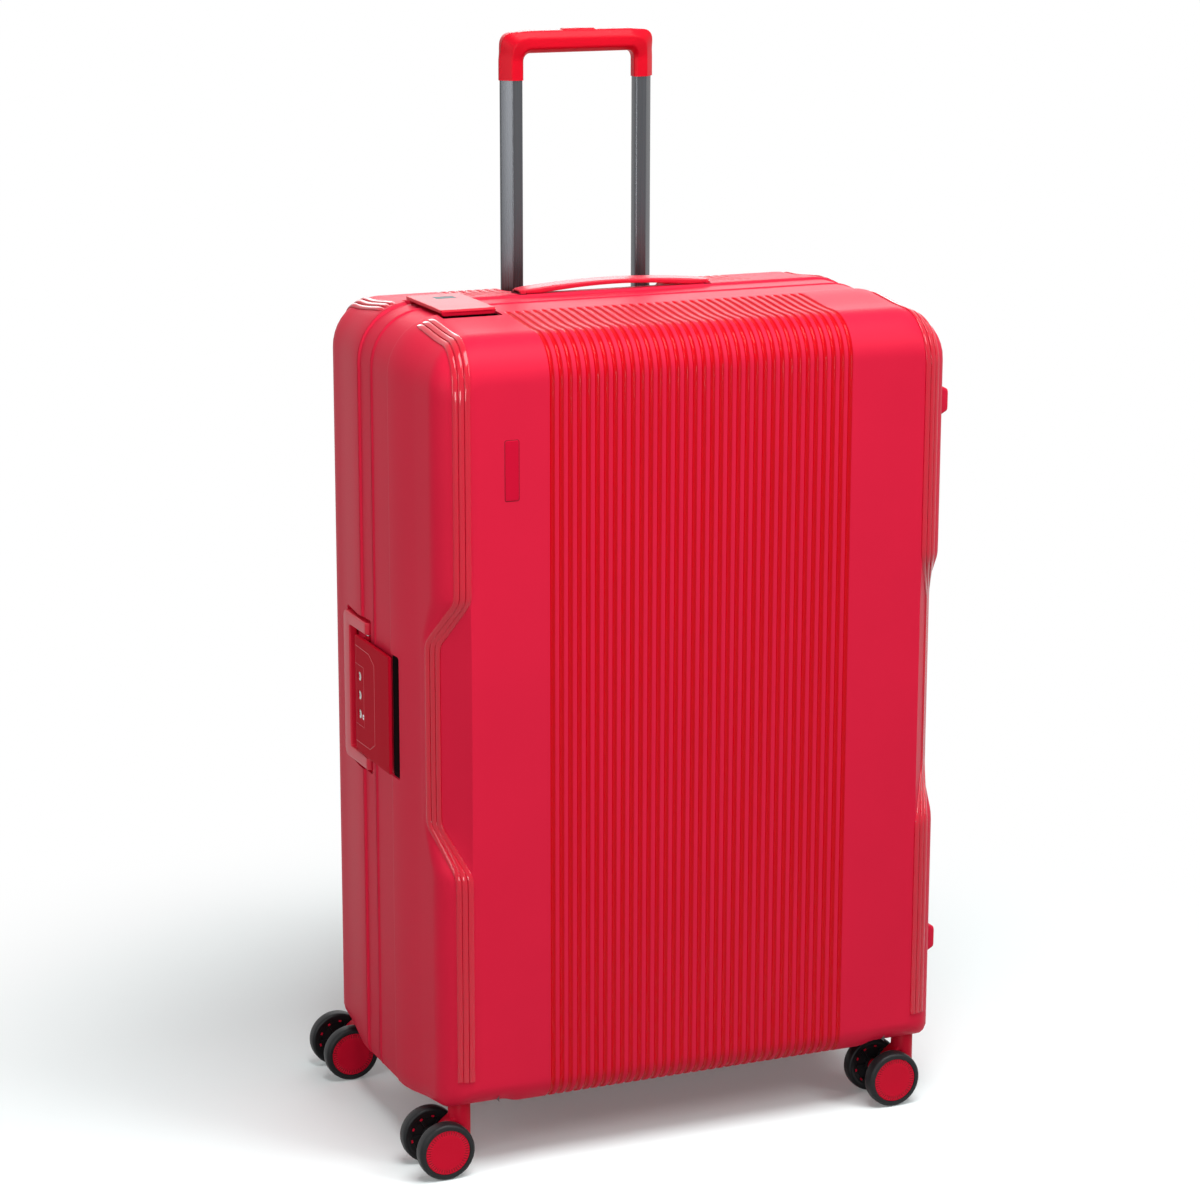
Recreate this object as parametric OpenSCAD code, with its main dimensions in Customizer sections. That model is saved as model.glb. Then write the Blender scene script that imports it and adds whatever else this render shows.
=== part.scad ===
// Hard-shell upright suitcase, large size: two moulded shells hinged along the right
// side, three flap latches, a telescopic tow handle and four twin-wheel casters.
// X runs to the right, Y to the back and Z up; the origin is on the floor, midway
// between the shells' sides and between their front and back faces.

/* [Shells] */
// Half of the width over both shells
case_half_w = 255; // [245:1:260]
// Half of the depth over both shells
case_half_d = 157; // [150:1:165]
// Height of the top of the shells above the floor
case_top = 767; // [740:1:780]
// Height of the middle of the bottom above the floor
case_bottom = 53; // [50:1:56]
// Wall thickness of the moulded shells
wall = 3; // [2.4:0.2:3.2]
// How far the plain rims lie inside the bulged shells
rim_step = 2; // [1.5:0.5:2.5]

/* [Front grooves] */
// Number of grooves side by side in the band
groove_count = 35; // [15:2:35]
// Distance from one groove to the next
groove_pitch = 8.48; // [8:0.01:8.5]
// Width of one groove
groove_w = 5.2; // [3:0.1:5.4]
// Depth of one groove
groove_depth = 1.5; // [0.5:0.1:1.6]

/* [Tow handle] */
// Distance of each pole from the middle
pole_x = 67; // [60:1:70]
// Distance of the poles behind the middle
pole_y = 133; // [130:1:134]
// Height of the top of the grip, fully pulled out
grip_top = 996; // [980:1:1010]
// How far the handle slides down
handle_travel = 223; // [200:1:223]

/* [Casters] */
// Distance of the swivel axes from the middle, left and right
caster_x = 226; // [220:1:228]
// Distance of the swivel axes from the middle, front and back
caster_y = 131; // [126:1:132]
// Radius of a wheel over its tyre
wheel_r = 26.5; // [24:0.5:26.5]
// How far the axle trails behind the swivel axis
caster_trail = 21.4; // [18:0.1:22]

/* [Latches and side handle] */
// Height of the middle of the side latch and side handle
side_z = 406; // [380:1:430]
// Length of the side latch plate
side_latch_w = 110; // [100:1:112]
// Length of the top and bottom latch plates
end_latch_w = 52; // [46:1:54]

/* [Hidden] */
$fn = 48;
eps = 0.01;

red = [0.85, 0.13, 0.24];
deep_red = [0.6, 0.08, 0.12];
graphite = [0.32, 0.36, 0.36];
black = [0.12, 0.12, 0.13];
steel = [0.75, 0.76, 0.78];
cloth = [0.25, 0.25, 0.28];

// Depth stations along Y: front step of the lid's rim, the seam, and the base's bevel
lid_step_y = -42;
seam_y = 5;
seam_gap = 0.15;
base_step_y = 35;

// Shell outline
face_half_w = 249;
face_top = 761;
face_bottom = 57;
pad_bottom = 61;
top_corner_r = 52;
bottom_corner_r = 16;
front_corner_r = 28;
rear_corner_r = 40;
top_edge_r = 40;
bottom_edge_r = 26;
pad_inner_x = 172;
pad_outer_x = 190;
far = 320;
high = 900;

// Tow handle well in the top of the base, with a deeper socket round each pole
well_half_x = 84;
well_front_y = 50;
well_floor = 742;
socket_half_x = 14;
socket_half_y = 14.5;
socket_floor = 724;

// Recess round the side latch and side handle
side_recess_front_y = 16;
side_recess_rear_y = 88;
side_recess_half_z = 73;
recess_depth = 6;
side_x = -(case_half_w - rim_step);

// Flap latches, in a frame whose height n is measured outwards from the rim's surface
flap_front_y = -52;
flap_rear_y = 43;
flap_under = 3.5;
flap_over = 6.5;
flap_axis_y = 40;
flap_axis_n = -0.5;
flap_roll_n = 2.2;
flap_roll_t = 3.5;
flap_knuckle_r = 3;
latch_pin_r = 1.5;
latch_slack = 0.05;
lug_t = 4;
lug_inset = 4;
keeper_n = 1.6;
pocket_front_y = -62;
latch_margin = 2;
top_latch_x = -180;
bottom_latch_x = -126;
rim_top = case_top - rim_step;
rim_bottom = case_bottom + rim_step;

// Carry handle: an arch whose two feet pass through slots in the top
carry_span = 95.5;
carry_rise = 7.5;
carry_t = 4.5;
carry_r = (carry_span * carry_span + carry_rise * carry_rise) / (2 * carry_rise);
carry_foot_z = case_top + 0.3;
carry_y = [38.5, 59.5];
carry_foot_x = 93;
carry_foot_half = [2.5, 5];
carry_foot_bottom = 744;

// Side handle
bail_y = 24;
bail_n = -0.5;
bail_half_t = 4;
bail_inner_half_z = 58.5;
bail_outer_half_z = 70;
bail_bar_y = [67, 84];
bail_pin_r = 2;

// Combination lock
dial_y = 31;
dial_n = 0.9;
dial_r = 5.2;
dial_w = 8;
dial_step = 18;
dial_window_r = 4.3;
shaft_r = 1.2;
key_y = 22;
key_z = -19;
key_r = 2.5;

// Hinge along the right side
hinge_x = 257.5;
hinge_r = 4;
hinge_pin_r = 2;
hinge_z = [190, 406, 622];
hinge_half = 30;
knuckle_half = 14;
leaf_t = 1.4;
leaf_reach = 20;

// Side feet
foot_y = 110;
foot_z = [150, 671];
foot_out_x = 264;
foot_in_x = 249;
foot_w = 26;

// Packing straps across the base
strap_y = [22, 23.4];
strap_w = 30;
strap_end_x = 248.3;
strap_rise = 150;
strap_length = 300;
buckle_half = [24, 32];
lining_front_y = 14.5;

// Tow handle sections
pole_half = [10, 6];
pole_wall = 1.2;
pole_round = 3;
guide_half = [12, 8];
guide_round = 4;
guide_bottom = 90;
guide_top = 722;
stowed_height = 142;
inner_bottom = guide_bottom + stowed_height + handle_travel;
sleeve_bottom = 952;
grip_under = 973;
grip_half_x = 79;
sleeve_inner_x = 55;
grip_inner_r = 8;
grip_half_y = 12;
button_half = [16, 5];
rod_r = 1.5;

// Casters
tyre_outer_y = 28.9;
tyre_inner_y = 15.2;
tyre_in_r = 21.2;
axle_r = 3;
axle_z = wheel_r;
stem_r = 4;
post_r = 10.25;
post_top = 63.6;
stem_top = 86;
mount_floor = pad_bottom + wall + 0.1;
mount_top = 90;
mount_r = 11;
mount_flange_r = 12.5;

// ---------------------------------------------------------------- outlines

// Points on a circle from one angle to another
function arc(c, r, a0, a1, n = 6) =
    [for (i = [0:n]) c + r * [cos(a0 + (a1 - a0) * i / n), sin(a0 + (a1 - a0) * i / n)]];

// The same points with the first coordinate negated, in reverse order
function mirrored(pts) = [for (i = [len(pts) - 1:-1:0]) [-pts[i][0], pts[i][1]]];

// A rounded rectangle about the middle
function round_rect(half, r) = concat(
    arc([half[0] - r, half[1] - r], r, 0, 90, 4), arc([r - half[0], half[1] - r], r, 90, 180, 4),
    arc([r - half[0], r - half[1]], r, 180, 270, 4), arc([half[0] - r, r - half[1]], r, 270, 360, 4));

// Front view of the right half, from the bottom middle up, set in by d
function front_half(d) = concat(
    [for (i = [0:6]) [pad_inner_x + (pad_outer_x - pad_inner_x) * i / 6,
        case_bottom + d + (pad_bottom - case_bottom) * (1 - cos(30 * i)) / 2]],
    arc([case_half_w - bottom_corner_r, pad_bottom + bottom_corner_r], bottom_corner_r - d, 270, 360, 5),
    arc([case_half_w - top_corner_r, case_top - top_corner_r], top_corner_r - d, 0, 90, 8));
function front_outline(d) = concat(front_half(d), mirrored(front_half(d)));

// Plan view of the right half: front corner, side with its draft, rear corner
function plan_half(d) = concat(
    arc([face_half_w - front_corner_r, front_corner_r - case_half_d], front_corner_r - d, -90, 0, 5),
    [[case_half_w - d, lid_step_y], [case_half_w - d, base_step_y]],
    arc([face_half_w - rear_corner_r, case_half_d - rear_corner_r], rear_corner_r - d, 0, 90, 7));
function plan_outline(d) = concat(plan_half(d), mirrored(plan_half(d)));

// Side view: bottom from front to back, then up the rear and over the top
function side_outline(d) = concat(
    arc([bottom_edge_r - case_half_d, face_bottom + bottom_edge_r], bottom_edge_r - d, 180, 270, 6),
    [[lid_step_y, case_bottom + d], [base_step_y, case_bottom + d]],
    arc([case_half_d - bottom_edge_r, face_bottom + bottom_edge_r], bottom_edge_r - d, 270, 360, 6),
    arc([case_half_d - top_edge_r, face_top - top_edge_r], top_edge_r - d, 0, 90, 7),
    [[base_step_y, case_top - d], [lid_step_y, case_top - d]],
    arc([top_edge_r - case_half_d, face_top - top_edge_r], top_edge_r - d, 90, 180, 7));

// ---------------------------------------------------------------- placing

// Extrudes a front-view outline along Y
module along_y(y0, y1) {
    translate([0, y1, 0]) rotate([90, 0, 0]) linear_extrude(y1 - y0) children();
}

// Extrudes a side-view outline along X
module along_x(x0, x1) {
    translate([x0, 0, 0]) rotate([90, 0, 90]) linear_extrude(x1 - x0) children();
}

// A box between two corners
module block(a, b) {
    translate(a) cube(b - a);
}

// Places a latch's own frame (length along X, Y, outwards Z) on the side, top or bottom
module on_side() {
    translate([side_x, 0, side_z]) rotate([0, -90, 0]) children();
}
module on_top() {
    translate([top_latch_x, 0, rim_top]) children();
}
module on_bottom() {
    translate([bottom_latch_x, 0, rim_bottom]) rotate([0, 180, 0]) children();
}

// Both shells as one closed form, set in by d
module case_form(d) {
    intersection() {
        along_y(-far, far) polygon(front_outline(d));
        linear_extrude(high) polygon(plan_outline(d));
        along_x(-far, far) polygon(side_outline(d));
    }
}

// ---------------------------------------------------------------- what is let into the shells

// The slanted facet that narrows each front corner at mid height
module corner_facet(g) {
    reach = [g * 0.8, -g * 0.6];
    mid = [[216.6, -162], [270, -162], [270, -90.8]] - [reach, reach, reach];
    tip = [[246, -162], [270, -162], [270, -140]] - [reach, reach, reach];
    for (s = [0, 1]) mirror([s, 0, 0]) hull() {
        translate([0, 0, 324]) linear_extrude(168) polygon(mid);
        translate([0, 0, 284]) linear_extrude(248) polygon(tip);
    }
}

// A finger pocket in the lid's face in front of a latch of length w
module finger_pocket(w, g) {
    block([-w / 2 - latch_margin - g, pocket_front_y - g, -recess_depth - g],
        [w / 2 + latch_margin + g, lid_step_y + g, 30]);
}

// The recess in the base under the hinge end of an end latch
module hinge_recess(g) {
    block([-end_latch_w / 2 - latch_margin - g, flap_axis_y - 6 - g, -recess_depth - g],
        [end_latch_w / 2 + latch_margin + g, flap_axis_y + 9 + g, 30]);
}

module lid_intrusions(g) {
    corner_facet(g);
    on_side() finger_pocket(side_latch_w, g);
    on_top() finger_pocket(end_latch_w, g);
    on_bottom() finger_pocket(end_latch_w, g);
}

module base_intrusions(g) {
    block([-well_half_x - g, well_front_y - g, well_floor - g], [well_half_x + g, far, high]);
    for (s = [-1, 1]) block(
        [s * pole_x - socket_half_x - g, pole_y - socket_half_y - g, socket_floor - g],
        [s * pole_x + socket_half_x + g, pole_y + socket_half_y + g, well_floor + eps]);
    on_side() block([-side_recess_half_z - g, side_recess_front_y - g, -recess_depth - g],
        [side_recess_half_z + g, side_recess_rear_y + g, 30]);
    on_top() hinge_recess(g);
    on_bottom() hinge_recess(g);
}

// The lid's or base's body with a plain rim, set in by d and open past the seam by o
module lid_body(d, o) {
    difference() {
        union() {
            intersection() {
                case_form(d);
                block([-far, -far, 0], [far, lid_step_y - d, high]);
            }
            intersection() {
                case_form(rim_step + d);
                block([-far, lid_step_y - d - eps, 0], [far, seam_y - seam_gap + o, high]);
            }
        }
        lid_intrusions(d);
    }
}
module base_body(d, o) {
    difference() {
        union() {
            intersection() {
                case_form(d);
                block([-far, base_step_y + d, 0], [far, far, high]);
            }
            intersection() {
                case_form(rim_step + d);
                block([-far, seam_y + seam_gap - o, 0], [far, base_step_y + d + eps, high]);
            }
        }
        base_intrusions(d);
    }
}

// The band of grooves over the top, down the face and under the bottom, for Y beyond 52
module groove_band() {
    first = -(groove_count - 1) / 2 * groove_pitch;
    for (i = [0:groove_count - 1]) along_x(first + i * groove_pitch - groove_w / 2,
        first + i * groove_pitch + groove_w / 2) difference() {
        translate([-far, 0]) square([far - 52, high]);
        polygon(side_outline(groove_depth));
    }
}

// Holes through one shell's corner pads for the caster posts
module caster_holes(y) {
    for (s = [-1, 1]) translate([s * caster_x, y, 40]) cylinder(r = mount_r, h = 40);
}

// ---------------------------------------------------------------- shells and linings

module base_shell() {
    color(red) difference() {
        base_body(0, 0);
        base_body(wall, 1);
        mirror([0, 1, 0]) groove_band();
        caster_holes(caster_y);
        for (z = foot_z) block([foot_in_x - 0.1, foot_y - foot_w / 2 - 0.1, z - 16.1],
            [far, foot_y + foot_w / 2 + 0.1, z + 16.1]);
        for (s = [-1, 1]) {
            translate([s * pole_x, pole_y, 700]) linear_extrude(40)
                polygon(round_rect(guide_half + [0.1, 0.1], guide_round));
            block([s * carry_foot_x - 3, carry_y[0] - 0.5, well_floor],
                [s * carry_foot_x + 3, carry_y[1] + 0.5, high]);
        }
    }
}

module lid_shell() {
    color(red) difference() {
        lid_body(0, 0);
        lid_body(wall, 1);
        groove_band();
        caster_holes(-caster_y);
        for (z = foot_z) block([foot_in_x - 0.1, -foot_y - foot_w / 2 - 0.1, z - 16.1],
            [far, foot_w / 2 + 0.1 - foot_y, z + 16.1]);
        block([-188.4, -far, 619], [-175.4, 1 - case_half_d, 672.5]);
    }
}

// Spaces that the linings step over: caster sockets, guide tubes and the handle's feet
module lining_clearance(g, y) {
    for (s = [-1, 1]) translate([s * caster_x, y, 0]) {
        block([-30 - g, -30 - g, 40], [30 + g, 30 + g, mount_top + 2 + g]);
    }
}
module base_lining_form(d) {
    difference() {
        base_body(d, 0);
        lining_clearance(d - wall, caster_y);
        block([wall - d - 88, 119 + wall - d, 40], [88 + d - wall, far, high]);
        for (s = [-1, 1]) block([s * carry_foot_x - 7 + wall - d, carry_y[0] - 2 + wall - d, 740 + wall - d],
            [s * carry_foot_x + 7 + d - wall, carry_y[1] + 2 + d - wall, high]);
    }
}

module base_lining() {
    color(cloth) difference() {
        base_lining_form(wall + 0.4);
        base_lining_form(wall + 1.6);
        block([-far, -far, 0], [far, lining_front_y, high]);
    }
}

module lid_lining() {
    color(cloth) difference() {
        lid_body(wall + 0.4, 0);
        lining_clearance(0.4, -caster_y);
        difference() {
            lid_body(wall + 1.6, 0);
            lining_clearance(1.6, -caster_y);
        }
        block([-far, -11, 0], [far, far, high]);
    }
}

module lid_divider() {
    color(cloth) along_y(-10, -6) polygon(front_outline(rim_step + wall + 0.4));
}

module rim_seal() {
    color(black) difference() {
        along_y(-2, 12.5) polygon(front_outline(rim_step + wall + 0.6));
        along_y(-3, 15) polygon(front_outline(rim_step + wall + 2.4));
    }
}

// ---------------------------------------------------------------- packing straps

module packing_straps() {
    color(black) for (a = [0, 1], b = [0, 1]) mirror([a, 0, 0]) translate([0, 0, side_z])
        mirror([0, 0, b]) intersection() {
            rotate([0, -atan2(strap_rise, strap_end_x), 0])
                block([0, strap_y[0], -strap_w / 2], [strap_length, strap_y[1], strap_w / 2]);
            block([buckle_half[0] + 0.1, -far, 0.2], [strap_end_x, far, far]);
        }
}

module strap_buckle() {
    color(black) translate([0, 0, side_z])
        along_y(strap_y[0] - 2.5, strap_y[1] + 2.5) polygon(round_rect(buckle_half, 8));
}

// ---------------------------------------------------------------- tow handle

module tube(half, r, t, z0, z1) {
    translate([0, 0, z0]) linear_extrude(z1 - z0) difference() {
        polygon(round_rect(half, r));
        polygon(round_rect(half - [t, t], r - t));
    }
}

module guide_tubes() {
    color(steel) for (s = [-1, 1]) translate([s * pole_x, pole_y, 0])
        tube(guide_half, guide_round, pole_wall, guide_bottom, guide_top);
}

module tube_anchor() {
    color(black) difference() {
        union() {
            block([-86, 121, 66], [86, 143, 70]);
            for (s = [-1, 1]) block([s * pole_x - 16, 121, 70 - eps], [s * pole_x + 16, 143, 112]);
        }
        for (s = [-1, 1]) translate([s * pole_x, pole_y, guide_bottom]) linear_extrude(40)
            polygon(round_rect(guide_half + [0.05, 0.05], guide_round));
    }
}

// Liner of the handle well: a floor with a cup round each pole
module trolley_bezel() {
    color(deep_red) difference() {
        union() {
            block([-well_half_x + 0.2, well_front_y + 0.2, well_floor + 0.05],
                [well_half_x - 0.2, 148, well_floor + 2.5]);
            for (s = [-1, 1]) block(
                [s * pole_x - socket_half_x + 0.1, pole_y - socket_half_y + 0.1, socket_floor + 0.05],
                [s * pole_x + socket_half_x - 0.1, pole_y + socket_half_y - 0.1, well_floor + 2.5]);
        }
        for (s = [-1, 1]) {
            block([s * pole_x - 12.6, pole_y - 12.6, socket_floor + 2],
                [s * pole_x + 12.6, pole_y + 12.6, 760]);
            translate([s * pole_x, pole_y, 700]) linear_extrude(60)
                polygon(round_rect(pole_half + [0.3, 0.3], pole_round));
        }
    }
}

module inner_tubes() {
    color(graphite) for (s = [-1, 1]) translate([s * pole_x, pole_y, 0])
        tube(pole_half, pole_round, pole_wall, inner_bottom + 30, grip_under + 2);
}

module slide_blocks() {
    color(black) for (s = [-1, 1]) translate([s * pole_x, pole_y, 0]) difference() {
        union() {
            translate([0, 0, inner_bottom]) linear_extrude(29.95)
                polygon(round_rect(guide_half - [pole_wall + 0.2, pole_wall + 0.2], 2.6));
            translate([0, 0, inner_bottom]) linear_extrude(50)
                polygon(round_rect(pole_half - [pole_wall + 0.05, pole_wall + 0.05], 1.75));
        }
        translate([0, 0, inner_bottom - 1]) cylinder(r = rod_r + 0.3, h = 60);
    }
}

// Front view of the grip: a bar with a sleeve down each pole, rounded at its shoulders
function grip_half() = concat(
    arc([sleeve_inner_x - grip_inner_r, grip_under - grip_inner_r], grip_inner_r, 90, 0, 5),
    [[sleeve_inner_x, sleeve_bottom], [grip_half_x, sleeve_bottom]],
    arc([grip_half_x - 20, grip_top - 20], 20, 0, 90, 6));

module grip() {
    color(red) difference() {
        along_y(pole_y - grip_half_y, pole_y + grip_half_y) polygon(concat(grip_half(), mirrored(grip_half())));
        for (s = [-1, 1]) translate([s * pole_x, pole_y, sleeve_bottom - 1]) linear_extrude(24.05)
            polygon(round_rect(pole_half + [0.05, 0.05], pole_round));
        block([-button_half[0] - 0.3, pole_y - button_half[1] - 0.3, grip_top - 12],
            [button_half[0] + 0.3, pole_y + button_half[1] + 0.3, grip_top + 1]);
        block([-70, pole_y - 3.3, grip_top - 17], [70, pole_y + 3.3, grip_top - 8.4]);
        for (s = [-1, 1]) translate([s * pole_x, pole_y, sleeve_bottom]) cylinder(r = 2, h = 30);
    }
}

module grip_button() {
    color(red) {
        translate([0, pole_y, grip_top - 8.7]) linear_extrude(9.7) polygon(round_rect(button_half, 2));
        block([-69.7, pole_y - 3, grip_top - 12.4], [69.7, pole_y + 3, grip_top - 8.7]);
    }
}

module push_rods() {
    color(steel) for (s = [-1, 1]) translate([s * pole_x, pole_y, inner_bottom + 5])
        cylinder(r = rod_r, h = grip_top - 12.4 - inner_bottom - 5);
}

// ---------------------------------------------------------------- carry handle on top

module carry_handle() {
    a = asin(carry_span / carry_r);
    c = [0, carry_foot_z + carry_t + carry_rise - carry_r];
    color(red) along_y(carry_y[0], carry_y[1]) {
        polygon(concat(arc(c, carry_r, 90 - a, 90 + a, 16), arc(c, carry_r - carry_t, 90 + a, 90 - a, 16)));
        for (s = [-1, 1]) {
            translate([s * carry_foot_x - carry_foot_half[0], carry_foot_bottom])
                square([2 * carry_foot_half[0], carry_foot_z + 3.5 - carry_foot_bottom]);
            translate([s * carry_foot_x - carry_foot_half[1], carry_foot_bottom])
                square([2 * carry_foot_half[1], 4]);
        }
    }
}

// ---------------------------------------------------------------- side handle

module side_handle() {
    color(red) on_side() difference() {
        union() {
            block([-bail_outer_half_z, bail_bar_y[0], bail_n - bail_half_t],
                [bail_outer_half_z, bail_bar_y[1], bail_n + bail_half_t]);
            for (s = [-1, 1]) mirror([(1 - s) / 2, 0, 0]) {
                block([bail_inner_half_z, bail_y, bail_n - bail_half_t],
                    [bail_outer_half_z, bail_bar_y[1], bail_n + bail_half_t]);
                translate([bail_inner_half_z, bail_y, bail_n]) rotate([0, 90, 0])
                    cylinder(r = bail_half_t, h = bail_outer_half_z - bail_inner_half_z);
            }
        }
        for (s = [-1, 1]) translate([s * (bail_inner_half_z + 4.8), bail_y, bail_n]) rotate([0, 90, 0])
            cylinder(r = bail_pin_r + 0.05, h = 12, center = true);
    }
}

module side_handle_pins() {
    color(steel) on_side() for (s = [-1, 1]) translate([s * 61, bail_y, bail_n]) rotate([0, 90, 0])
        cylinder(r = bail_pin_r, h = 16, center = true);
}

// ---------------------------------------------------------------- latches

// A flap of length w: plate, rolled front edge, hook lip and hinge knuckle
module flap(w) {
    difference() {
        union() {
            along_x(-w / 2, w / 2) polygon([
                [flap_front_y, flap_roll_n], [flap_front_y + flap_roll_t, flap_roll_n],
                [flap_front_y + flap_roll_t, flap_under], [flap_rear_y, flap_under],
                [flap_rear_y, flap_over - 0.8], [flap_rear_y - 0.8, flap_over],
                [flap_front_y + 2, flap_over], [flap_front_y, flap_over - 2]]);
            block([-w / 2 + 8, -25, flap_roll_n], [w / 2 - 8, -21, flap_under + eps]);
            along_x(-w / 2 + 8.4, w / 2 - 8.4) {
                translate([flap_axis_y, flap_axis_n]) circle(r = flap_knuckle_r);
                translate([flap_axis_y - 1.6, flap_axis_n]) square([3.2, 4.5]);
            }
        }
        translate([0, flap_axis_y, flap_axis_n]) rotate([0, 90, 0])
            cylinder(r = latch_pin_r + latch_slack, h = w, center = true);
    }
}

// The two lugs that carry a flap's pin, standing on the recess floor
module flap_lugs(w) {
    for (s = [-1, 1]) translate([s * (w / 2 - lug_inset - lug_t / 2), 0, 0]) difference() {
        along_x(-lug_t / 2, lug_t / 2) {
            translate([flap_axis_y, flap_axis_n]) circle(r = flap_knuckle_r);
            translate([flap_axis_y - 3, -recess_depth + 0.05]) square([6, recess_depth - 0.5]);
        }
        translate([0, flap_axis_y, flap_axis_n]) rotate([0, 90, 0])
            cylinder(r = latch_pin_r + 0.02, h = 10, center = true);
    }
}

module flap_pin(w) {
    translate([0, flap_axis_y, flap_axis_n]) rotate([0, 90, 0])
        cylinder(r = latch_pin_r, h = w - 2 * lug_inset, center = true);
}

module latch_brackets() {
    color(deep_red) {
        on_side() {
            flap_lugs(side_latch_w);
            for (s = [-1, 1]) difference() {
                along_x(s * 55 - 2.5, s * 55 + 2.5) {
                    translate([bail_y, bail_n]) circle(r = 3);
                    translate([bail_y - 3, -recess_depth + 0.05]) square([6, recess_depth - 0.5]);
                }
                translate([s * 55, bail_y, bail_n]) rotate([0, 90, 0])
                    cylinder(r = bail_pin_r + 0.02, h = 10, center = true);
            }
        }
        on_top() flap_lugs(end_latch_w);
        on_bottom() flap_lugs(end_latch_w);
    }
}

module latch_pins() {
    color(steel) {
        on_side() flap_pin(side_latch_w);
        on_top() flap_pin(end_latch_w);
        on_bottom() flap_pin(end_latch_w);
    }
}

// Low ribs on the lid's rim that the hook lips drop in front of
module latch_keepers() {
    color(deep_red) {
        on_side() keeper(side_latch_w);
        on_top() keeper(end_latch_w);
        on_bottom() keeper(end_latch_w);
    }
}
module keeper(w) {
    block([-w / 2 + 8, -19, 0.02], [w / 2 - 8, -15, keeper_n]);
}

module side_latch_flap() {
    color(deep_red) on_side() difference() {
        flap(side_latch_w);
        for (i = [-1, 0, 1]) translate([i * dial_step, dial_y, flap_under - 1])
            cylinder(r = dial_window_r, h = 10);
        translate([key_z, key_y, flap_under - 1]) cylinder(r = key_r + 0.05, h = 10);
        for (i = [-1, 0, 1]) translate([i * dial_step, dial_y, dial_n]) rotate([0, 90, 0])
            cylinder(r = dial_r + 0.4, h = dial_w + 0.6, center = true);
    }
}

module lock_body() {
    color(black) on_side() difference() {
        block([-31, 24.6, -4.6], [31, 36.6, flap_under - 0.05]);
        for (i = [-1, 0, 1]) translate([i * dial_step, dial_y, dial_n]) rotate([0, 90, 0])
            cylinder(r = dial_r + 0.4, h = dial_w + 0.6, center = true);
        translate([0, dial_y, dial_n]) rotate([0, 90, 0]) cylinder(r = shaft_r + 0.02, h = 80, center = true);
        translate([key_z, key_y, -10]) cylinder(r = key_r + 0.4, h = 20);
    }
}

module lock_shaft() {
    color(steel) on_side() translate([0, dial_y, dial_n]) rotate([0, 90, 0])
        cylinder(r = shaft_r, h = 60, center = true);
}

// A number dial on the lock's shaft
module dial(i) {
    color("white") on_side() translate([i * dial_step, dial_y, dial_n]) rotate([0, 90, 0]) difference() {
        cylinder(r = dial_r, h = dial_w, center = true);
        cylinder(r = shaft_r + 0.05, h = dial_w + 2, center = true);
    }
}

module key_barrel() {
    color(steel) on_side() translate([key_z, key_y, 0]) difference() {
        translate([0, 0, 1.2]) cylinder(r = key_r, h = flap_over - 1.4);
        block([-0.4, -1.8, flap_over - 1.6], [0.4, 1.8, flap_over + 1]);
    }
}

module top_latch_flap() {
    color(red) on_top() difference() {
        flap(end_latch_w);
        block([-7.05, 12.95, flap_over - 0.8], [13.05, 27.05, flap_over + 1]);
    }
}

module top_latch_inset() {
    color(graphite) on_top() block([-7, 13, flap_over - 0.8], [13, 27, flap_over]);
}

module bottom_latch_flap() {
    color(red) on_bottom() flap(end_latch_w);
}

// ---------------------------------------------------------------- lid hinges, feet, plate

module hinge_leaves() {
    color(deep_red) for (z = hinge_z) difference() {
        for (s = [-1, 1]) translate([0, 0, z + s * (hinge_half + knuckle_half + 0.3) / 2])
            linear_extrude(hinge_half - knuckle_half - 0.3, center = true) hinge_outline(1);
        translate([hinge_x, seam_y, z]) cylinder(r = hinge_pin_r + 0.02, h = 80, center = true);
    }
}

module hinge_knuckles() {
    color(deep_red) for (z = hinge_z) difference() {
        translate([0, 0, z]) linear_extrude(2 * knuckle_half, center = true) hinge_outline(-1);
        translate([hinge_x, seam_y, z]) cylinder(r = hinge_pin_r + 0.05, h = 80, center = true);
    }
}

// Plan of a knuckle with its web and the leaf on the rim, towards +Y or -Y
module hinge_outline(s) {
    x0 = case_half_w - rim_step + 0.02;
    translate([0, seam_y]) mirror([0, (1 - s) / 2]) {
        translate([hinge_x, 0]) circle(r = hinge_r);
        translate([x0, 0.8]) square([hinge_x - x0, hinge_r - 0.8]);
        translate([x0, 0.8]) square([leaf_t, leaf_reach]);
    }
}

module hinge_pins() {
    color(steel) for (z = hinge_z) translate([hinge_x, seam_y, z])
        cylinder(r = hinge_pin_r, h = 2 * hinge_half, center = true);
}

// Tapered feet that the case lies on, handle side up
module side_feet(y) {
    color(red) for (z = foot_z) along_y(y - foot_w / 2, y + foot_w / 2) polygon([
        [foot_in_x, z - 16], [252, z - 16], [foot_out_x - 1, z - 10], [foot_out_x, z - 9],
        [foot_out_x, z + 9], [foot_out_x - 1, z + 10], [252, z + 16], [foot_in_x, z + 16]]);
}
module base_side_feet() { side_feet(foot_y); }
module lid_side_feet() { side_feet(-foot_y); }

module name_plate() {
    color(deep_red) block([-188.3, 0.2 - case_half_d, 619.1], [-175.5, 1 - case_half_d, 672.4]);
}

// ---------------------------------------------------------------- casters

// A flanged socket inside the shell, which carries the caster's stem
module caster_mount(sx, sy) {
    color(black) translate([sx * caster_x, sy * caster_y, 0]) difference() {
        union() {
            translate([0, 0, mount_floor]) cylinder(r = mount_flange_r, h = 3);
            translate([0, 0, mount_floor]) cylinder(r = mount_r, h = mount_top - mount_floor);
        }
        translate([0, 0, mount_floor - 1]) cylinder(r = stem_r + 0.05, h = 50);
    }
}

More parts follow.
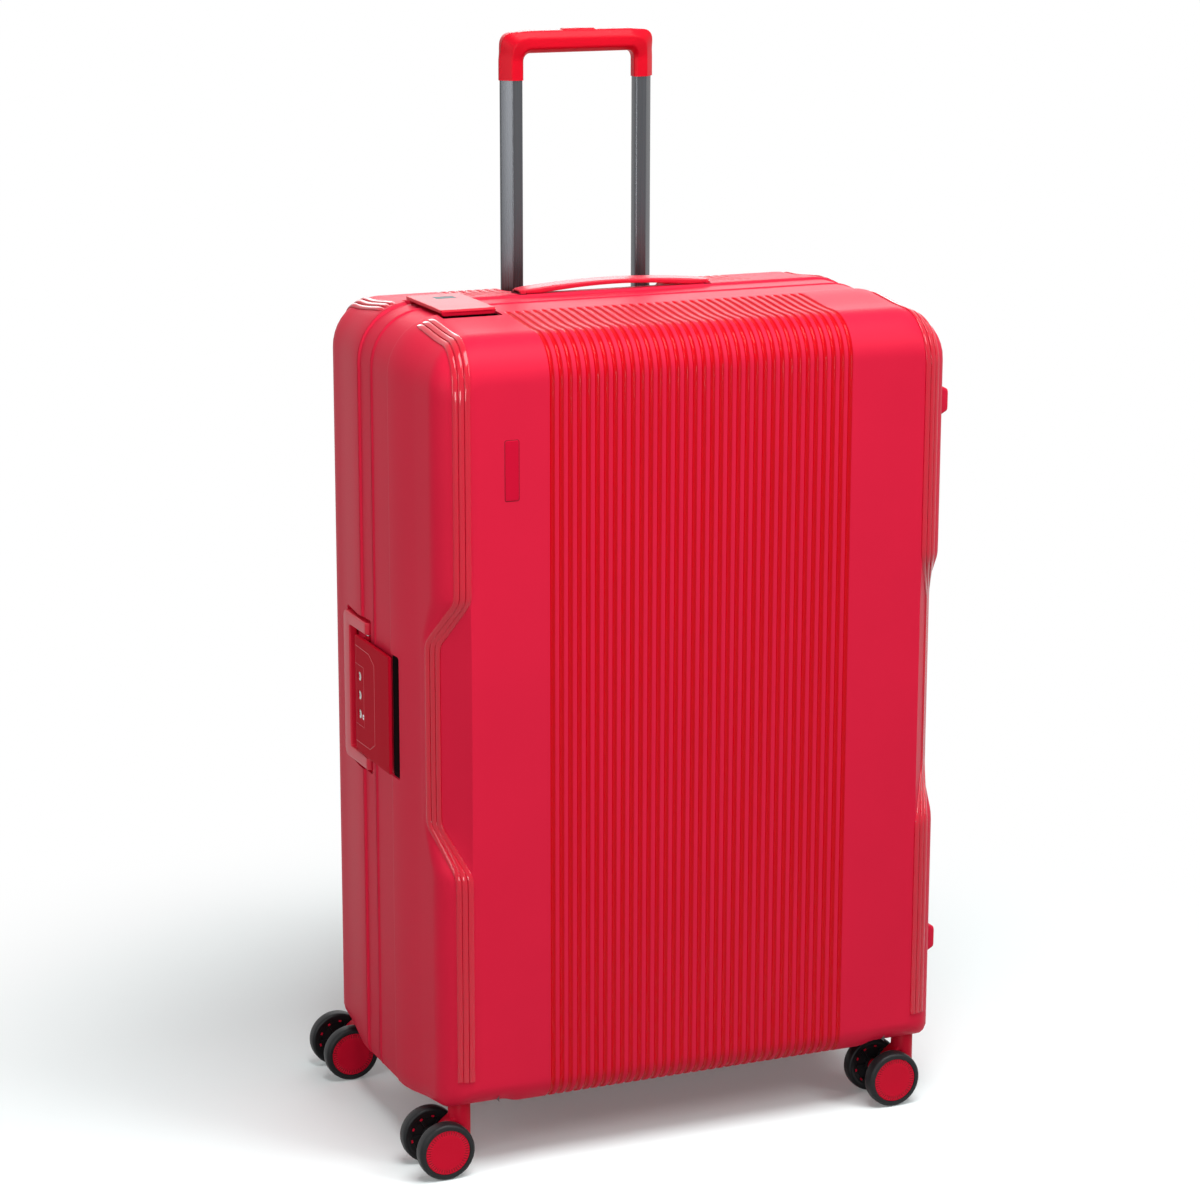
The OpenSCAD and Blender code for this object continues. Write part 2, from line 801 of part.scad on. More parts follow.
// Post, stem and trailing leg, as one moulding
module caster_fork(sx, sy) {
    color(red) translate([sx * caster_x, sy * caster_y, 0]) difference() {
        union() {
            translate([0, 0, axle_z - 2]) cylinder(r = post_r, h = post_top - axle_z + 2);
            translate([0, 0, post_top - 1]) cylinder(r = stem_r, h = stem_top - post_top + 1);
            along_y(-8, 8) polygon(concat(
                arc([-caster_trail, axle_z], 8, 135, 300, 8), [[0, axle_z - 2], [0, 54], [-8, 54]]));
            translate([-caster_trail, 0, axle_z]) rotate([90, 0, 0])
                cylinder(r = 7, h = 2 * tyre_inner_y - 1.2, center = true);
        }
        translate([-caster_trail, 0, axle_z]) rotate([90, 0, 0])
            cylinder(r = axle_r + 0.02, h = 60, center = true);
    }
}

module axle(sx, sy) {
    color(steel) translate([sx * caster_x - caster_trail, sy * caster_y, axle_z]) rotate([90, 0, 0])
        cylinder(r = axle_r, h = 50, center = true);
}

// The two discs, each with a face cap, that run on the axle
module hubs(sx, sy) {
    color(red) translate([sx * caster_x - caster_trail, sy * caster_y, axle_z]) for (s = [0, 1])
        mirror([0, s, 0]) rotate([-90, 0, 0]) difference() {
            union() {
                translate([0, 0, tyre_inner_y]) cylinder(r = 8, h = 4);
                translate([0, 0, tyre_inner_y + 3])
                    cylinder(r = tyre_in_r - 0.05, h = tyre_outer_y - tyre_inner_y - 3.2);
            }
            cylinder(r = axle_r + 0.05, h = 25.2);
        }
}

module tyres(sx, sy) {
    color(black) translate([sx * caster_x - caster_trail, sy * caster_y, axle_z]) for (s = [0, 1])
        mirror([0, s, 0]) rotate([-90, 0, 0]) rotate_extrude() polygon([
            [tyre_in_r, tyre_inner_y + 1], [wheel_r - 2.5, tyre_inner_y], [wheel_r - 0.7, tyre_inner_y + 0.9],
            [wheel_r, tyre_inner_y + 3], [wheel_r, tyre_outer_y - 3], [wheel_r - 0.7, tyre_outer_y - 0.9],
            [wheel_r - 2.5, tyre_outer_y], [tyre_in_r, tyre_outer_y]]);
}

base_shell();
base_lining();
rim_seal();
packing_straps();
strap_buckle();
guide_tubes();
tube_anchor();
trolley_bezel();
hinge_leaves();
hinge_pins();
base_side_feet();
latch_brackets();
latch_pins();
side_handle_pins();
lid_shell();
lid_lining();
lid_divider();
name_plate();
latch_keepers();
hinge_knuckles();
lid_side_feet();
grip();
inner_tubes();
slide_blocks();
grip_button();
push_rods();
carry_handle();
side_handle();
side_latch_flap();
lock_body();
lock_shaft();
key_barrel();
dial(1);  // dial_upper
dial(0);  // dial_middle
dial(-1);  // dial_lower
top_latch_flap();
top_latch_inset();
bottom_latch_flap();
caster_mount(-1, -1);  // caster_mount_front_left
caster_fork(-1, -1);  // caster_fork_front_left
axle(-1, -1);  // axle_front_left
hubs(-1, -1);  // hubs_front_left
tyres(-1, -1);  // tyres_front_left
caster_mount(1, -1);  // caster_mount_front_right
caster_fork(1, -1);  // caster_fork_front_right
axle(1, -1);  // axle_front_right
hubs(1, -1);  // hubs_front_right
tyres(1, -1);  // tyres_front_right
caster_mount(-1, 1);  // caster_mount_rear_left
caster_fork(-1, 1);  // caster_fork_rear_left
axle(-1, 1);  // axle_rear_left
hubs(-1, 1);  // hubs_rear_left
tyres(-1, 1);  // tyres_rear_left
caster_mount(1, 1);  // caster_mount_rear_right
caster_fork(1, 1);  // caster_fork_rear_right
axle(1, 1);  // axle_rear_right
hubs(1, 1);  // hubs_rear_right
tyres(1, 1);  // tyres_rear_right
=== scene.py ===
import math
import bmesh
import bpy
import numpy as np
from mathutils import Matrix, Vector


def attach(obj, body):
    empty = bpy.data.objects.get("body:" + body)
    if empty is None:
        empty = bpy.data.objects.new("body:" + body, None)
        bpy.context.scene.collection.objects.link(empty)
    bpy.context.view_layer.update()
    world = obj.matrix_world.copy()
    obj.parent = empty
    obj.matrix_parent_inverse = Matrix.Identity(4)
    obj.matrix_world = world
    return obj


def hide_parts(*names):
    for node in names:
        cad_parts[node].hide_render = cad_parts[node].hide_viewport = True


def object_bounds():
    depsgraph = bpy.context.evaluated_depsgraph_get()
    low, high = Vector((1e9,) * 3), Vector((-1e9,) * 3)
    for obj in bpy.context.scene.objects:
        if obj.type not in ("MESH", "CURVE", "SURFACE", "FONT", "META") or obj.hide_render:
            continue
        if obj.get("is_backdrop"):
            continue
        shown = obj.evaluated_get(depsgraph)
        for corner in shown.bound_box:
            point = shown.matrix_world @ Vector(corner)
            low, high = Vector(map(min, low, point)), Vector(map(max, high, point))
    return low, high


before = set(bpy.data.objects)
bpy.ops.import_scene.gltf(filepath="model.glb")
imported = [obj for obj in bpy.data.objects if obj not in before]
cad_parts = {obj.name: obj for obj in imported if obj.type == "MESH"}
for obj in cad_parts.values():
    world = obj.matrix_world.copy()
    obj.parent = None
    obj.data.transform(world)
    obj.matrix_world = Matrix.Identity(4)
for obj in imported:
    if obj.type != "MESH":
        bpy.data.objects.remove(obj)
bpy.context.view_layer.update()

# ---------------------------------------------------------------- viewpoint
# The camera stands in front of the case and to its left, a little above it,
# with a long lens.
yaw = math.radians(23.01)
pitch = math.radians(13.68)
roll = math.radians(0.1)
stand = Vector((-1.2334, -2.8277, 1.2296))
ahead = Vector((math.sin(yaw) * math.cos(pitch), math.cos(yaw) * math.cos(pitch), -math.sin(pitch)))
level = Vector((math.cos(yaw), -math.sin(yaw), 0))
across = math.cos(roll) * level + math.sin(roll) * level.cross(ahead)
upward = across.cross(ahead)
lens = bpy.data.cameras.new("viewpoint")
lens.sensor_width = 36
lens.lens = 101.72
camera = bpy.data.objects.new("viewpoint", lens)
camera.matrix_world = Matrix((
    (across.x, upward.x, -ahead.x, stand.x),
    (across.y, upward.y, -ahead.y, stand.y),
    (across.z, upward.z, -ahead.z, stand.z),
    (0, 0, 0, 1)))
bpy.context.scene.collection.objects.link(camera)
bpy.context.scene.camera = camera
bpy.context.scene.view_settings.view_transform = "Standard"

# ---------------------------------------------------------------- studio
# A plain white floor that runs into white surroundings, one wide soft lamp overhead, one
# in front to the right, and three smaller and weaker ones: low in front, left and behind.


def set_inputs(tree, node, inputs):
    """Gives each input of a node its value, or links it to the output given for it."""
    for name, value in inputs.items():
        if isinstance(value, bpy.types.NodeSocket):
            tree.links.new(value, node.inputs[name])
        else:
            node.inputs[name].default_value = value


def add_node(tree, kind, inputs=None, **settings):
    """A new shader node with these settings and inputs."""
    node = tree.nodes.new("ShaderNode" + kind)
    for name, value in settings.items():
        setattr(node, name, value)
    set_inputs(tree, node, inputs or {})
    return node


def new_paint(name):
    """A new material, with its node tree and its shader."""
    paint = bpy.data.materials.new(name)
    paint.use_nodes = True
    return paint, paint.node_tree, paint.node_tree.nodes["Principled BSDF"]


def blended(tree, factor, first, second):
    """A mix by the factor of two colours, or of an output and a colour."""
    a, b = (c if isinstance(c, bpy.types.NodeSocket) else (*c, 1) for c in (first, second))
    mix = add_node(tree, "Mix", {"Factor": factor}, data_type="RGBA")
    set_inputs(tree, mix, {"A": a, "B": b})
    return mix.outputs["Result"]


def ranged(tree, value, low, high):
    """An output that runs from 0 to 1, spread from low to high."""
    return add_node(tree, "MapRange", {"Value": value, "To Min": low, "To Max": high}).outputs["Result"]


def seen_directly(tree):
    """1 for the rays that see the white surroundings: camera, glossy and transmission."""
    ray_kind = add_node(tree, "LightPath")
    total = ray_kind.outputs["Is Camera Ray"]
    for name in ("Is Glossy Ray", "Is Transmission Ray"):
        larger = add_node(tree, "Math", {0: total, 1: ray_kind.outputs[name]}, operation="MAXIMUM")
        total = larger.outputs[0]
    return total


floor_mesh = bpy.data.meshes.new("studio_floor")
floor_mesh.from_pydata([(-30, -30, 0), (30, -30, 0), (30, 30, 0), (-30, 30, 0)], [], [(0, 1, 2, 3)])
studio_floor = bpy.data.objects.new("studio_floor", floor_mesh)
bpy.context.scene.collection.objects.link(studio_floor)

# The floor is grey to the lamps and white to the eye. Away from the case it glows as
# white as the surroundings, and close to it only a tenth of that, to keep the shadow.
shadow_reach, glow_from, glow_near = 0.38, 0.95, 0.1
floor_paint, floor_tree, floor_shader = new_paint("studio_floor")
direct = seen_directly(floor_tree)
place = add_node(floor_tree, "NewGeometry")
reach = add_node(floor_tree, "VectorMath", {0: place.outputs["Position"]}, operation="LENGTH")
far = add_node(floor_tree, "MapRange", {"Value": reach.outputs["Value"], "From Min": shadow_reach,
                                        "From Max": glow_from, "To Min": glow_near},
               interpolation_type="SMOOTHERSTEP")
both = add_node(floor_tree, "Math", {0: far.outputs["Result"], 1: direct}, operation="MULTIPLY")
glow = add_node(floor_tree, "Emission")
set_inputs(floor_tree, floor_shader, {
    "Base Color": blended(floor_tree, direct, (0.38, 0.38, 0.38), (0.88, 0.95, 0.95)),
    "Roughness": 0.8, "Specular IOR Level": 0.0})
mixed = add_node(floor_tree, "MixShader", {
    0: both.outputs[0], 1: floor_shader.outputs[0], 2: glow.outputs[0]})
set_inputs(floor_tree, floor_tree.nodes["Material Output"], {"Surface": mixed.outputs[0]})
floor_mesh.materials.append(floor_paint)
studio_floor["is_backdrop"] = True

world = bpy.data.worlds.new("studio")
bpy.context.scene.world = world
world.use_nodes = True
world_light, world_seen = 0.16, 1.0
set_inputs(world.node_tree, world.node_tree.nodes["Background"], {
    "Color": (1, 1, 1, 1),
    "Strength": ranged(world.node_tree, seen_directly(world.node_tree), world_light, world_seen)})

for name, place, aim, size, power in (
        ("overhead_lamp", (0.1, -0.8, 2.5), (0, 0, 0.6), (1.8, 1.2), 60),
        ("front_lamp", (1.8, -2.2, 2.3), (0, 0, 0.9), (0.9, 1.2), 36),
        ("low_lamp", (-0.99, -2.0, 0.6), (-0.24, -0.14, 0.7), (0.5, 0.45), 9),
        ("left_lamp", (-1.55, -0.55, 0.95), (-0.25, 0, 0.6), (0.5, 0.8), 6),
        ("rear_lamp", (0.55, 1.5, 1.25), (0, 0, 0.77), (1.4, 0.5), 8)):
    lamp = bpy.data.lights.new(name, "AREA")
    lamp.shape = "RECTANGLE"
    lamp.size = size[0]
    lamp.size_y = size[1]
    lamp.energy = power
    holder = bpy.data.objects.new(name, lamp)
    turned_to = (Vector(aim) - Vector(place)).to_track_quat("-Z", "Y").to_matrix().to_4x4()
    holder.matrix_world = Matrix.Translation(place) @ turned_to
    bpy.context.scene.collection.objects.link(holder)

# ---------------------------------------------------------------- lid shell
# The front half of the case, moulded in polypropylene 3 mm thick: a satin skin
# with a band of polished channels down its middle, painted a darker red as shade
# in the grooves, and a slanted facet at each front corner. It is drafted from its
# rim to the face, so that it leaves the mould.
rim_half = 255.0  # half the width, outside the rims
rim_top = 767.0
rim_low = 53.0
pad_low = 61.0  # the underside over the casters, reached by a slope that starts at pad_from
pad_from, pad_run = 172, 18
mid_z = 406.0  # the height of the side latch, its handle and the strap buckle
face_at = 157.0  # from the plane between the shells to either face
wall = 3.0
taper = 6  # how far the draft brings the sides and the top in at the face
corner_round, corner_loss = 52, 34  # the upper corners' radius, and its loss at the face
channel_count, channel_pitch, channel_width, channel_depth, channel_end = 35, 8.48, 5.2, 1.5, 6
band_half = 150  # the channelled band reaches a little less far to either side
facet_x, facet_y = 249.6, 118.0  # where the facet leaves the side
facet_in, facet_on = 0.5996, 0.8008  # and the way it runs
jog_top, jog_low, jog_run = 532, 282, 42  # the heights between which the corner is cut
columns_low, columns_high, columns_end = 110, 700, 210  # beyond these the corners turn
edge_angles = np.radians([0, 8, 16, 24, 32, 40, 48, 54, 60, 64.5, 69, 73.5, 78, 82.5, 87, 90])


def mesh_piece(name, cells, sharp=35.0):
    """A mesh from rows of four corners in millimetres: corners that meet become one
    point, and a corner that is repeated in its cell makes it a triangle. Columns
    after the third are kept as the point attribute polish_and_shade, which marks gloss
    and the places where a material paints shade with its darker colour."""
    corners = cells.reshape(-1, cells.shape[-1])
    keys = np.round(corners[:, :3] * 500).astype(np.int64)
    _, first, index = np.unique(keys, axis=0, return_index=True, return_inverse=True)
    rows = index.reshape(-1, 4)
    kept = rows != np.roll(rows, 1, axis=1)
    count = kept.sum(1)
    twisted = (count == 4) & ((rows[:, 0] == rows[:, 2]) | (rows[:, 1] == rows[:, 3]))
    count[twisted] = 0
    faces = rows[count == 4].tolist()
    faces += rows[count == 3][kept[count == 3]].reshape(-1, 3).tolist()
    mesh = bpy.data.meshes.new(name)
    mesh.from_pydata((corners[first, :3] * 0.001).tolist(), [], faces)
    work = bmesh.new()
    work.from_mesh(mesh)
    bmesh.ops.recalc_face_normals(work, faces=work.faces)
    work.to_mesh(mesh)
    work.free()
    mesh.shade_smooth()
    mesh.set_sharp_from_angle(angle=math.radians(sharp))
    if corners.shape[1] > 3:
        polish_and_shade = mesh.attributes.new("polish_and_shade", "FLOAT", "POINT")
        polish_and_shade.data.foreach_set("value", corners[first, 3].astype(np.float32))
    piece = bpy.data.objects.new(name, mesh)
    bpy.context.scene.collection.objects.link(piece)
    return piece


def cells_of(grid):
    """The cells of a grid of points, four corners each."""
    return np.stack([grid[:-1, :-1], grid[1:, :-1], grid[1:, 1:], grid[:-1, 1:]], 2).reshape(
        -1, 4, grid.shape[-1])


def zipped(a, b, at_a, at_b):
    """Triangles between two lines of points, taken in the order of their parameters."""
    mid_a, mid_b = (at_a[1:] + at_a[:-1]) / 2, (at_b[1:] + at_b[:-1]) / 2
    from_a, from_b = np.searchsorted(mid_b, mid_a), np.searchsorted(mid_a, mid_b, side="right")
    return np.concatenate([
        np.stack([a[:-1], a[1:], b[from_a], b[from_a]], 1),
        np.stack([b[1:], b[:-1], a[from_b], a[from_b]], 1)])


def filled(top, bottom, left, right):
    """A grid inside four edges: each point is the mean of the two edge lines through
    it less that of the corners."""
    u = np.linspace(0, 1, len(top))[None, :, None]
    v = np.linspace(0, 1, len(left))[:, None, None]
    return ((1 - v) * top[None] + v * bottom[None] + (1 - u) * left[:, None] + u * right[:, None]
            - (1 - v) * ((1 - u) * top[0] + u * top[-1]) - v * ((1 - u) * bottom[0] + u * bottom[-1]))


def smooth(t):
    """The cubic step from 0 to 1."""
    t = np.clip(t, 0, 1)
    return t * t * (3 - 2 * t)


def run_out(u, f, c, r):
    """Along a flat that turns at c into an arc of radius r: the point at u, moved on by
    the share f of the way to the arc's middle. Gives place, drop and angle."""
    begin = np.arcsin(np.clip((u - c) / r, 0, 0.7071))
    flat = np.maximum(c - u, 0)
    run = f * (flat + r * (math.pi / 4 - begin))
    angle = begin + np.maximum(run - flat, 0) / r
    return np.where(angle > 0, c + r * np.sin(angle), u + run), r * (1 - np.cos(angle)), angle


def shell_rows(way, seam, step, rim_at, draft_at, first=None):
    """Depth stations of a shell: rounded seam edge, rim, step, draft, and then the
    rounding to the face as angles. Columns are depth, inset of the rim, angle, arc."""
    bead = [(0, 1.7), (0.15, 1.3), (0.6, 1.0), (1.5, 1.05), (2.4, 1.6), (3.1, 2.0)]
    dip = [(0, 3.4), (0.3, 3.1), (1.5, 3.0), (2.1, 2.6), (2.7, 2.1), (3.4, 2.0)]
    edge = bead if way < 0 else dip
    rows = [(seam + a, b) for a, b in edge] if first is None else [(seam, 2.0)] + first
    rows += [(e, 2.0) for e in rim_at]
    soft = 1 if way < 0 else 4
    rows += [(step - 0.05, 2.0), (step + 0.15 * soft, 1.3),
             (step + 0.4 * soft, 0.4), (step + 1.2 * soft, 0.0)]
    rows += [(e, 0.0) for e in draft_at]
    rows = [(e, i, 0.0, 0.0) for e, i in rows] + [(face_at, 0.0, a, 1.0) for a in edge_angles]
    return dict(way=way, step=step, table=np.array(rows))


def jog_weight(z):
    """How far the corner is cut back at height z: 0 above and below, 1 between, with a
    straight slope whose two bends are rounded."""
    def ramp(t):
        """0 up to t = 0, then half of t squared up to 1, then straight on."""
        return np.where(t < 0, 0, np.where(t < 1, t * t / 2, t - 0.5))
    t = np.minimum((jog_top - z) / jog_run, (z - jog_low) / jog_run)
    return (ramp(t + 0.16) - ramp(t - 0.16)) / 0.32


def shell_side(side, u, f, rows, radius, inset=0.0, facet=False):
    """Points of one side of a shell, a row for each depth station. Each station's outline
    is a rounded rectangle, drafted by the cubic step of the depth, and the edge to the
    face is an arc whose radius passes from one side's to the next round the corner."""
    e, rim, angle, arc = (rows["table"][:, i:i + 1] for i in range(4))
    r_side, r_top, r_low = radius
    close = 1 - np.cos(angle)

    def draft(r):
        """The share of the draft: the cubic step of the depth, from step to rounding."""
        return np.where(arc > 0, 1, smooth((e - rows["step"]) / (face_at - r - rows["step"])))
    half = rim_half - rim - taper * draft(r_side) - r_side * close - inset
    top = rim_top - rim - taper * draft(r_top) - r_top * close - inset
    low = rim_low + rim + 4 * draft(r_low) + r_low * close + inset
    pad = np.where(arc > 0, pad_low + (r_low - 4) * close, pad_low - 9 + 9 * smooth((e - 50) / 90)) + inset
    big = np.maximum(corner_round - rim - taper * draft(r_top) - corner_loss * close - inset, 6)
    small = 8 - rim + 2 * smooth((e - 60) / 80)
    small = np.maximum(np.where(arc > 0, 10 - 4 * close, small) - inset, 4)
    u, f = u[None], f[None]
    if side in ("top", "low"):
        r = big if side == "top" else small
        place, drop, turn = run_out(abs(u), f, half - r, r)
        x = np.sign(u) * place
        if side == "top":
            z = top - drop
        else:
            z = low + (pad - low) * smooth((place - pad_from) / pad_run) + drop
        own, other = (r_top if side == "top" else r_low), r_side
    else:
        upper = u > mid_z
        r = np.where(upper, big, small)
        c = np.where(upper, top - big - mid_z, mid_z - pad - small)
        place, drop, turn = run_out(abs(u - mid_z), f, c, r)
        z = mid_z + np.where(upper, 1, -1) * place
        x = (1 if side == "right" else -1) * (half - drop)
        own, other = r_side, np.where(upper, r_top, r_low)
    across_edge = own + (other - own) * smooth(2 * turn / math.pi)
    depth = np.where(arc > 0, face_at - inset - across_edge * (1 - np.sin(angle)), e)
    if facet and side in ("left", "right"):
        flank = np.linspace(facet_y - 11, facet_y, 9)
        along = np.array([2.4, 5.2, 8, 10.8, 13.6, 16.6, 48.7])
        cut_e = np.concatenate([flank, facet_y + along * facet_on])[:, None] - inset * 0.6
        cut_x = np.concatenate([facet_x + 0.4 * smooth((facet_y - flank) / 11), facet_x - along * facet_in])
        cut_x = cut_x[:, None] - inset
        bent = arc[:, 0] > 0
        w = jog_weight(z[bent])
        x[bent] = x[bent] * (1 - w) + w * cut_x * (1 if side == "right" else -1)
        depth[bent] = depth[bent] * (1 - w) + w * cut_e
    return np.stack([x, rows["way"] * depth, z], -1)


def recessed(sides, side, along, depth, level, corner=3.0):
    """Points of one side that lie inside a rounded rectangle (along it and in depth) are
    moved to that level, so that they make a flat-bottomed recess."""
    points = sides[side]
    a, n = (0, 2) if side in ("top", "low") else (2, 0)
    over_a = np.abs(points[..., a] - sum(along) / 2) - (along[1] - along[0]) / 2 + corner
    over_y = np.abs(points[..., 1] - sum(depth) / 2) - (depth[1] - depth[0]) / 2 + corner
    outside = np.hypot(np.maximum(over_a, 0), np.maximum(over_y, 0))
    away = outside + np.minimum(np.maximum(over_a, over_y), 0)
    points[..., n] = np.where(away < corner, level, points[..., n])


def beside(shifts, *spans):
    """Grid lines near the two edges of each span, moved outwards by each of the shifts."""
    return [at + way * t for span in spans for at, way in zip(span, (-1, 1)) for t in shifts]


middle_channel = (channel_count - 1) / 2
channel_x = (np.arange(channel_count) - middle_channel) * channel_pitch
in_channel = np.linspace(-1, 1, 9)
band_x = (channel_x[:, None] + in_channel * channel_width / 2).ravel()
band_x = np.sort(np.concatenate([band_x, [-band_half, band_half]]))


def channelled(points, normal, start):
    """Moves the band's points inwards: each channel is a parabola across and ends in a
    half ellipse at the given depth. Adds polish_and_shade as a fourth column: 1 where a point
    has sunk by more than a fiftieth of the channel's depth, for gloss and painted groove shade."""
    nearest = np.round(points[..., 0] / channel_pitch + middle_channel)
    nearest = np.clip(nearest, 0, channel_count - 1).astype(int)
    t = (points[..., 0] - channel_x[nearest]) * 2 / channel_width
    short = np.clip((start + channel_end - np.abs(points[..., 1])) / channel_end, 0, None)
    sink = np.clip(1 - t * t - short * short, 0, None)
    moved = points - normal * (channel_depth * sink)[..., None]
    return np.concatenate([moved, (sink > 0.02)[..., None].astype(float)], -1)


def plain(points):
    """The same points, with no polish."""
    return np.concatenate([points, np.zeros(points.shape[:-1] + (1,))], -1)


def side_stations(extra, dense, count):
    """Heights of a side's columns from top to bottom, and each one's share of the way
    round its corner."""
    steps = np.arange(0, 1.01, 1 / 7)
    spread = np.linspace(columns_low, columns_high, count)
    z = np.unique(np.round(np.concatenate([spread, extra, dense]), 2))[::-1]
    return (np.concatenate([np.full(7, columns_high), z, np.full(7, columns_low)]),
            np.concatenate([steps[:0:-1], 0 * z, steps[1:]]))


def end_stations(x_lines):
    """Places of the top's or bottom's columns from left to right, and their shares."""
    steps = np.arange(0, 1.01, 1 / 7)
    x = np.unique(np.round(x_lines, 3))
    return (np.concatenate([np.full(7, -columns_end), x, np.full(7, columns_end)]),
            np.concatenate([steps[:0:-1], 0 * x, steps[1:]]))


def band_between(top, low, levels):
    """The face of the band: straight lines from the last row of the top to that of the
    bottom, at shared levels."""
    v = np.asarray(levels)[:, None, None]
    return top[None] * (1 - v) + low[None] * v


def shell_cells(rows, radius, ends, z_left, z_right, start, levels, facet, carve, lip=None):
    """The whole outside of a shell: four sides and a face whose band is channelled, with
    the plain parts of the face zipped to the band."""
    sides = {}
    for side, (u, f) in dict(top=ends, low=ends, left=z_left, right=z_right).items():
        sides[side] = plain(shell_side(side, u, f, rows, radius, 0.0, facet))
    angle = rows["table"][:, 2]
    x, x_share = ends
    band_from, band_to = (int(np.argmin(abs(x - v) + (x_share > 0) * 99)) for v in (-band_half, band_half))
    top_edge = sides["top"][-1].copy()
    if lip:
        lip(top_edge)
    face = band_between(top_edge, sides["low"][-1], levels)
    face = channelled(face[..., :3], np.array([0, rows["way"], 0]), start)
    for side, way in (("top", 1), ("low", -1)):
        normal = np.stack([0 * angle, rows["way"] * np.sin(angle), way * np.cos(angle)], -1)[:, None]
        sides[side] = channelled(sides[side][..., :3], normal, start)
    carve(sides)
    face[0] = sides["top"][-1]
    face[-1] = sides["low"][-1]
    cells = [cells_of(sides[s]) for s in sides] + [cells_of(face[:, band_from:band_to + 1])]
    for way, flank, edge in ((-1, "left", band_from), (1, "right", band_to)):
        cut = slice(edge - 1, None, -1) if way < 0 else slice(edge + 1, None)
        top, low = (np.ascontiguousarray(sides[s][-1][cut][::-1]) for s in ("top", "low"))
        v = (sides[flank][-1][:, 2] - top[0, 2]) / (low[0, 2] - top[0, 2])
        inner = top[-1] + (low[-1] - top[-1]) * v[:, None]
        patch = filled(top, low, sides[flank][-1], inner)
        cells += [cells_of(patch), zipped(face[:, edge], patch[:, -1], levels, v)]
    return sides, np.concatenate(cells)


def lined(rows, radius, inset, facet, x_lines, z_lines, carve):
    """The inside of a shell, or its lining, with few columns: four sides and a face."""
    ends = end_stations(x_lines)
    flanks = side_stations([], z_lines, 0)
    sides = {side: plain(shell_side(side, *stations, rows, radius, inset, facet))
             for side, stations in dict(top=ends, low=ends, left=flanks, right=flanks).items()}
    carve(sides)
    face = filled(sides["top"][-1], sides["low"][-1], sides["left"][-1], sides["right"][-1])
    return sides, np.concatenate([cells_of(sides[s]) for s in sides] + [cells_of(face)])


def run_along(path):
    """The distance run along a path at each of its points."""
    return np.concatenate([[0], np.cumsum(np.linalg.norm(np.diff(path[:, :3], axis=0), axis=1))])


def rim_between(outer, inner):
    """The narrow rim that joins the first rows of the outside and the inside."""
    cells = []
    for side in outer:
        a, b = outer[side][0], inner[side][0]
        run_a, run_b = run_along(a), run_along(b)
        cells.append(zipped(a, b, run_a / run_a[-1], run_b / run_b[-1]))
    return np.concatenate(cells)


def band_plastic(name, colour, deep, satin=0.42, gloss=0.12, shine=0.1):
    """Moulded plastic: fine satin grain with a faint drift of colour, and clear gloss
    where the piece's polish_and_shade attribute is 1. There the colour turns to deep, which
    on the case is darker: painted shade in the channels."""
    paint, tree, shader = new_paint(name)
    place = add_node(tree, "TexCoord").outputs["Object"]
    polish_and_shade = add_node(tree, "Attribute", attribute_name="polish_and_shade").outputs["Fac"]
    grain = add_node(tree, "TexNoise", {"Vector": place, "Scale": 1400, "Detail": 3}).outputs["Fac"]
    drift = add_node(tree, "TexNoise", {"Vector": place, "Scale": 9, "Detail": 2}).outputs["Fac"]
    tone = blended(tree, drift, colour, [c * 0.9 for c in colour])
    bump = add_node(tree, "Bump", {"Distance": 0.0002, "Strength": ranged(tree, polish_and_shade, 0.25, 0.0),
                                   "Height": grain})
    set_inputs(tree, shader, {
        "Base Color": blended(tree, polish_and_shade, tone, deep),
        "Roughness": ranged(tree, polish_and_shade, satin, 0.15),
        "Coat Weight": ranged(tree, polish_and_shade, 0.0, gloss),
        "Coat Roughness": 0.04,
        "Specular IOR Level": shine,
        "Normal": bump.outputs["Normal"]})
    return paint


# The channels take the darker deep colour: painted shade in the grooves, besides their real gloss.
case_red = band_plastic("case_red", (0.66, 0.013, 0.046), (0.54, 0.0, 0.006), 0.46, 0.06, 0.07)

seam_front, step_front = -4.85, 42  # depths of the lid's seam edge and of its rim's step
pocket_y = (-62, -42)
pocket_spans = {"top": (-208, -152), "low": (-154, -98), "left": (349, 463)}
pocket_floors = {"top": 759, "low": 61, "left": -247}
inwards = {"top": -1, "low": 1, "left": 1}
lid_radius = (28.0, 40.0, 26.0)  # of the edge to the face: at the sides, on top, below
lid_rows = shell_rows(-1, seam_front, step_front, [-3, 0, 10, 17, 30, 38, 41],
                      [44.5, 47, 50.0, 50.7, 51.5, 52.6, 54, 56.0, 58.8, 60.4, 61.2, 61.7, 62.05,
                       66, 72, 79, 87, 96, 105])
recess_lines = (0.05, -0.3, -0.8, -1.6, -3.2)  # just outside a recess's edge, and inside
outer_x = np.concatenate([[160], np.linspace(pad_from, pad_from + pad_run, 9), [196, 202, 207, 210]])
shell_x = np.concatenate([band_x, outer_x, -outer_x, [band_half + 2],
                          beside(recess_lines, pocket_spans["top"], pocket_spans["low"])])
jogs = np.concatenate([np.arange(jog_low - 1, jog_low + jog_run + 3, 1.7),
                       np.arange(jog_top - jog_run - 1, jog_top + 3, 1.7)])
lid_left = side_stations(beside(recess_lines, pocket_spans["left"]), jogs, 40)
lid_right = side_stations([], jogs, 40)


def grown(span, margin):
    """A span made longer by a margin at both ends."""
    return span[0] - margin, span[1] + margin


def lid_pockets(sides):
    """The three finger pockets in front of the latch flaps. Their front edge stays just
    short of the step's row of points."""
    for side, span in pocket_spans.items():
        recessed(sides, side, span, (pocket_y[0], pocket_y[1] - 0.02), pocket_floors[side])


def lid_pockets_inside(margin):
    """The same pockets seen from inside: larger, and further in by a margin."""
    def carve(sides):
        """Recesses the three sides."""
        for side, span in pocket_spans.items():
            recessed(sides, side, grown(span, margin), grown(pocket_y, margin),
                     pocket_floors[side] + inwards[side] * margin, 0)
    return carve


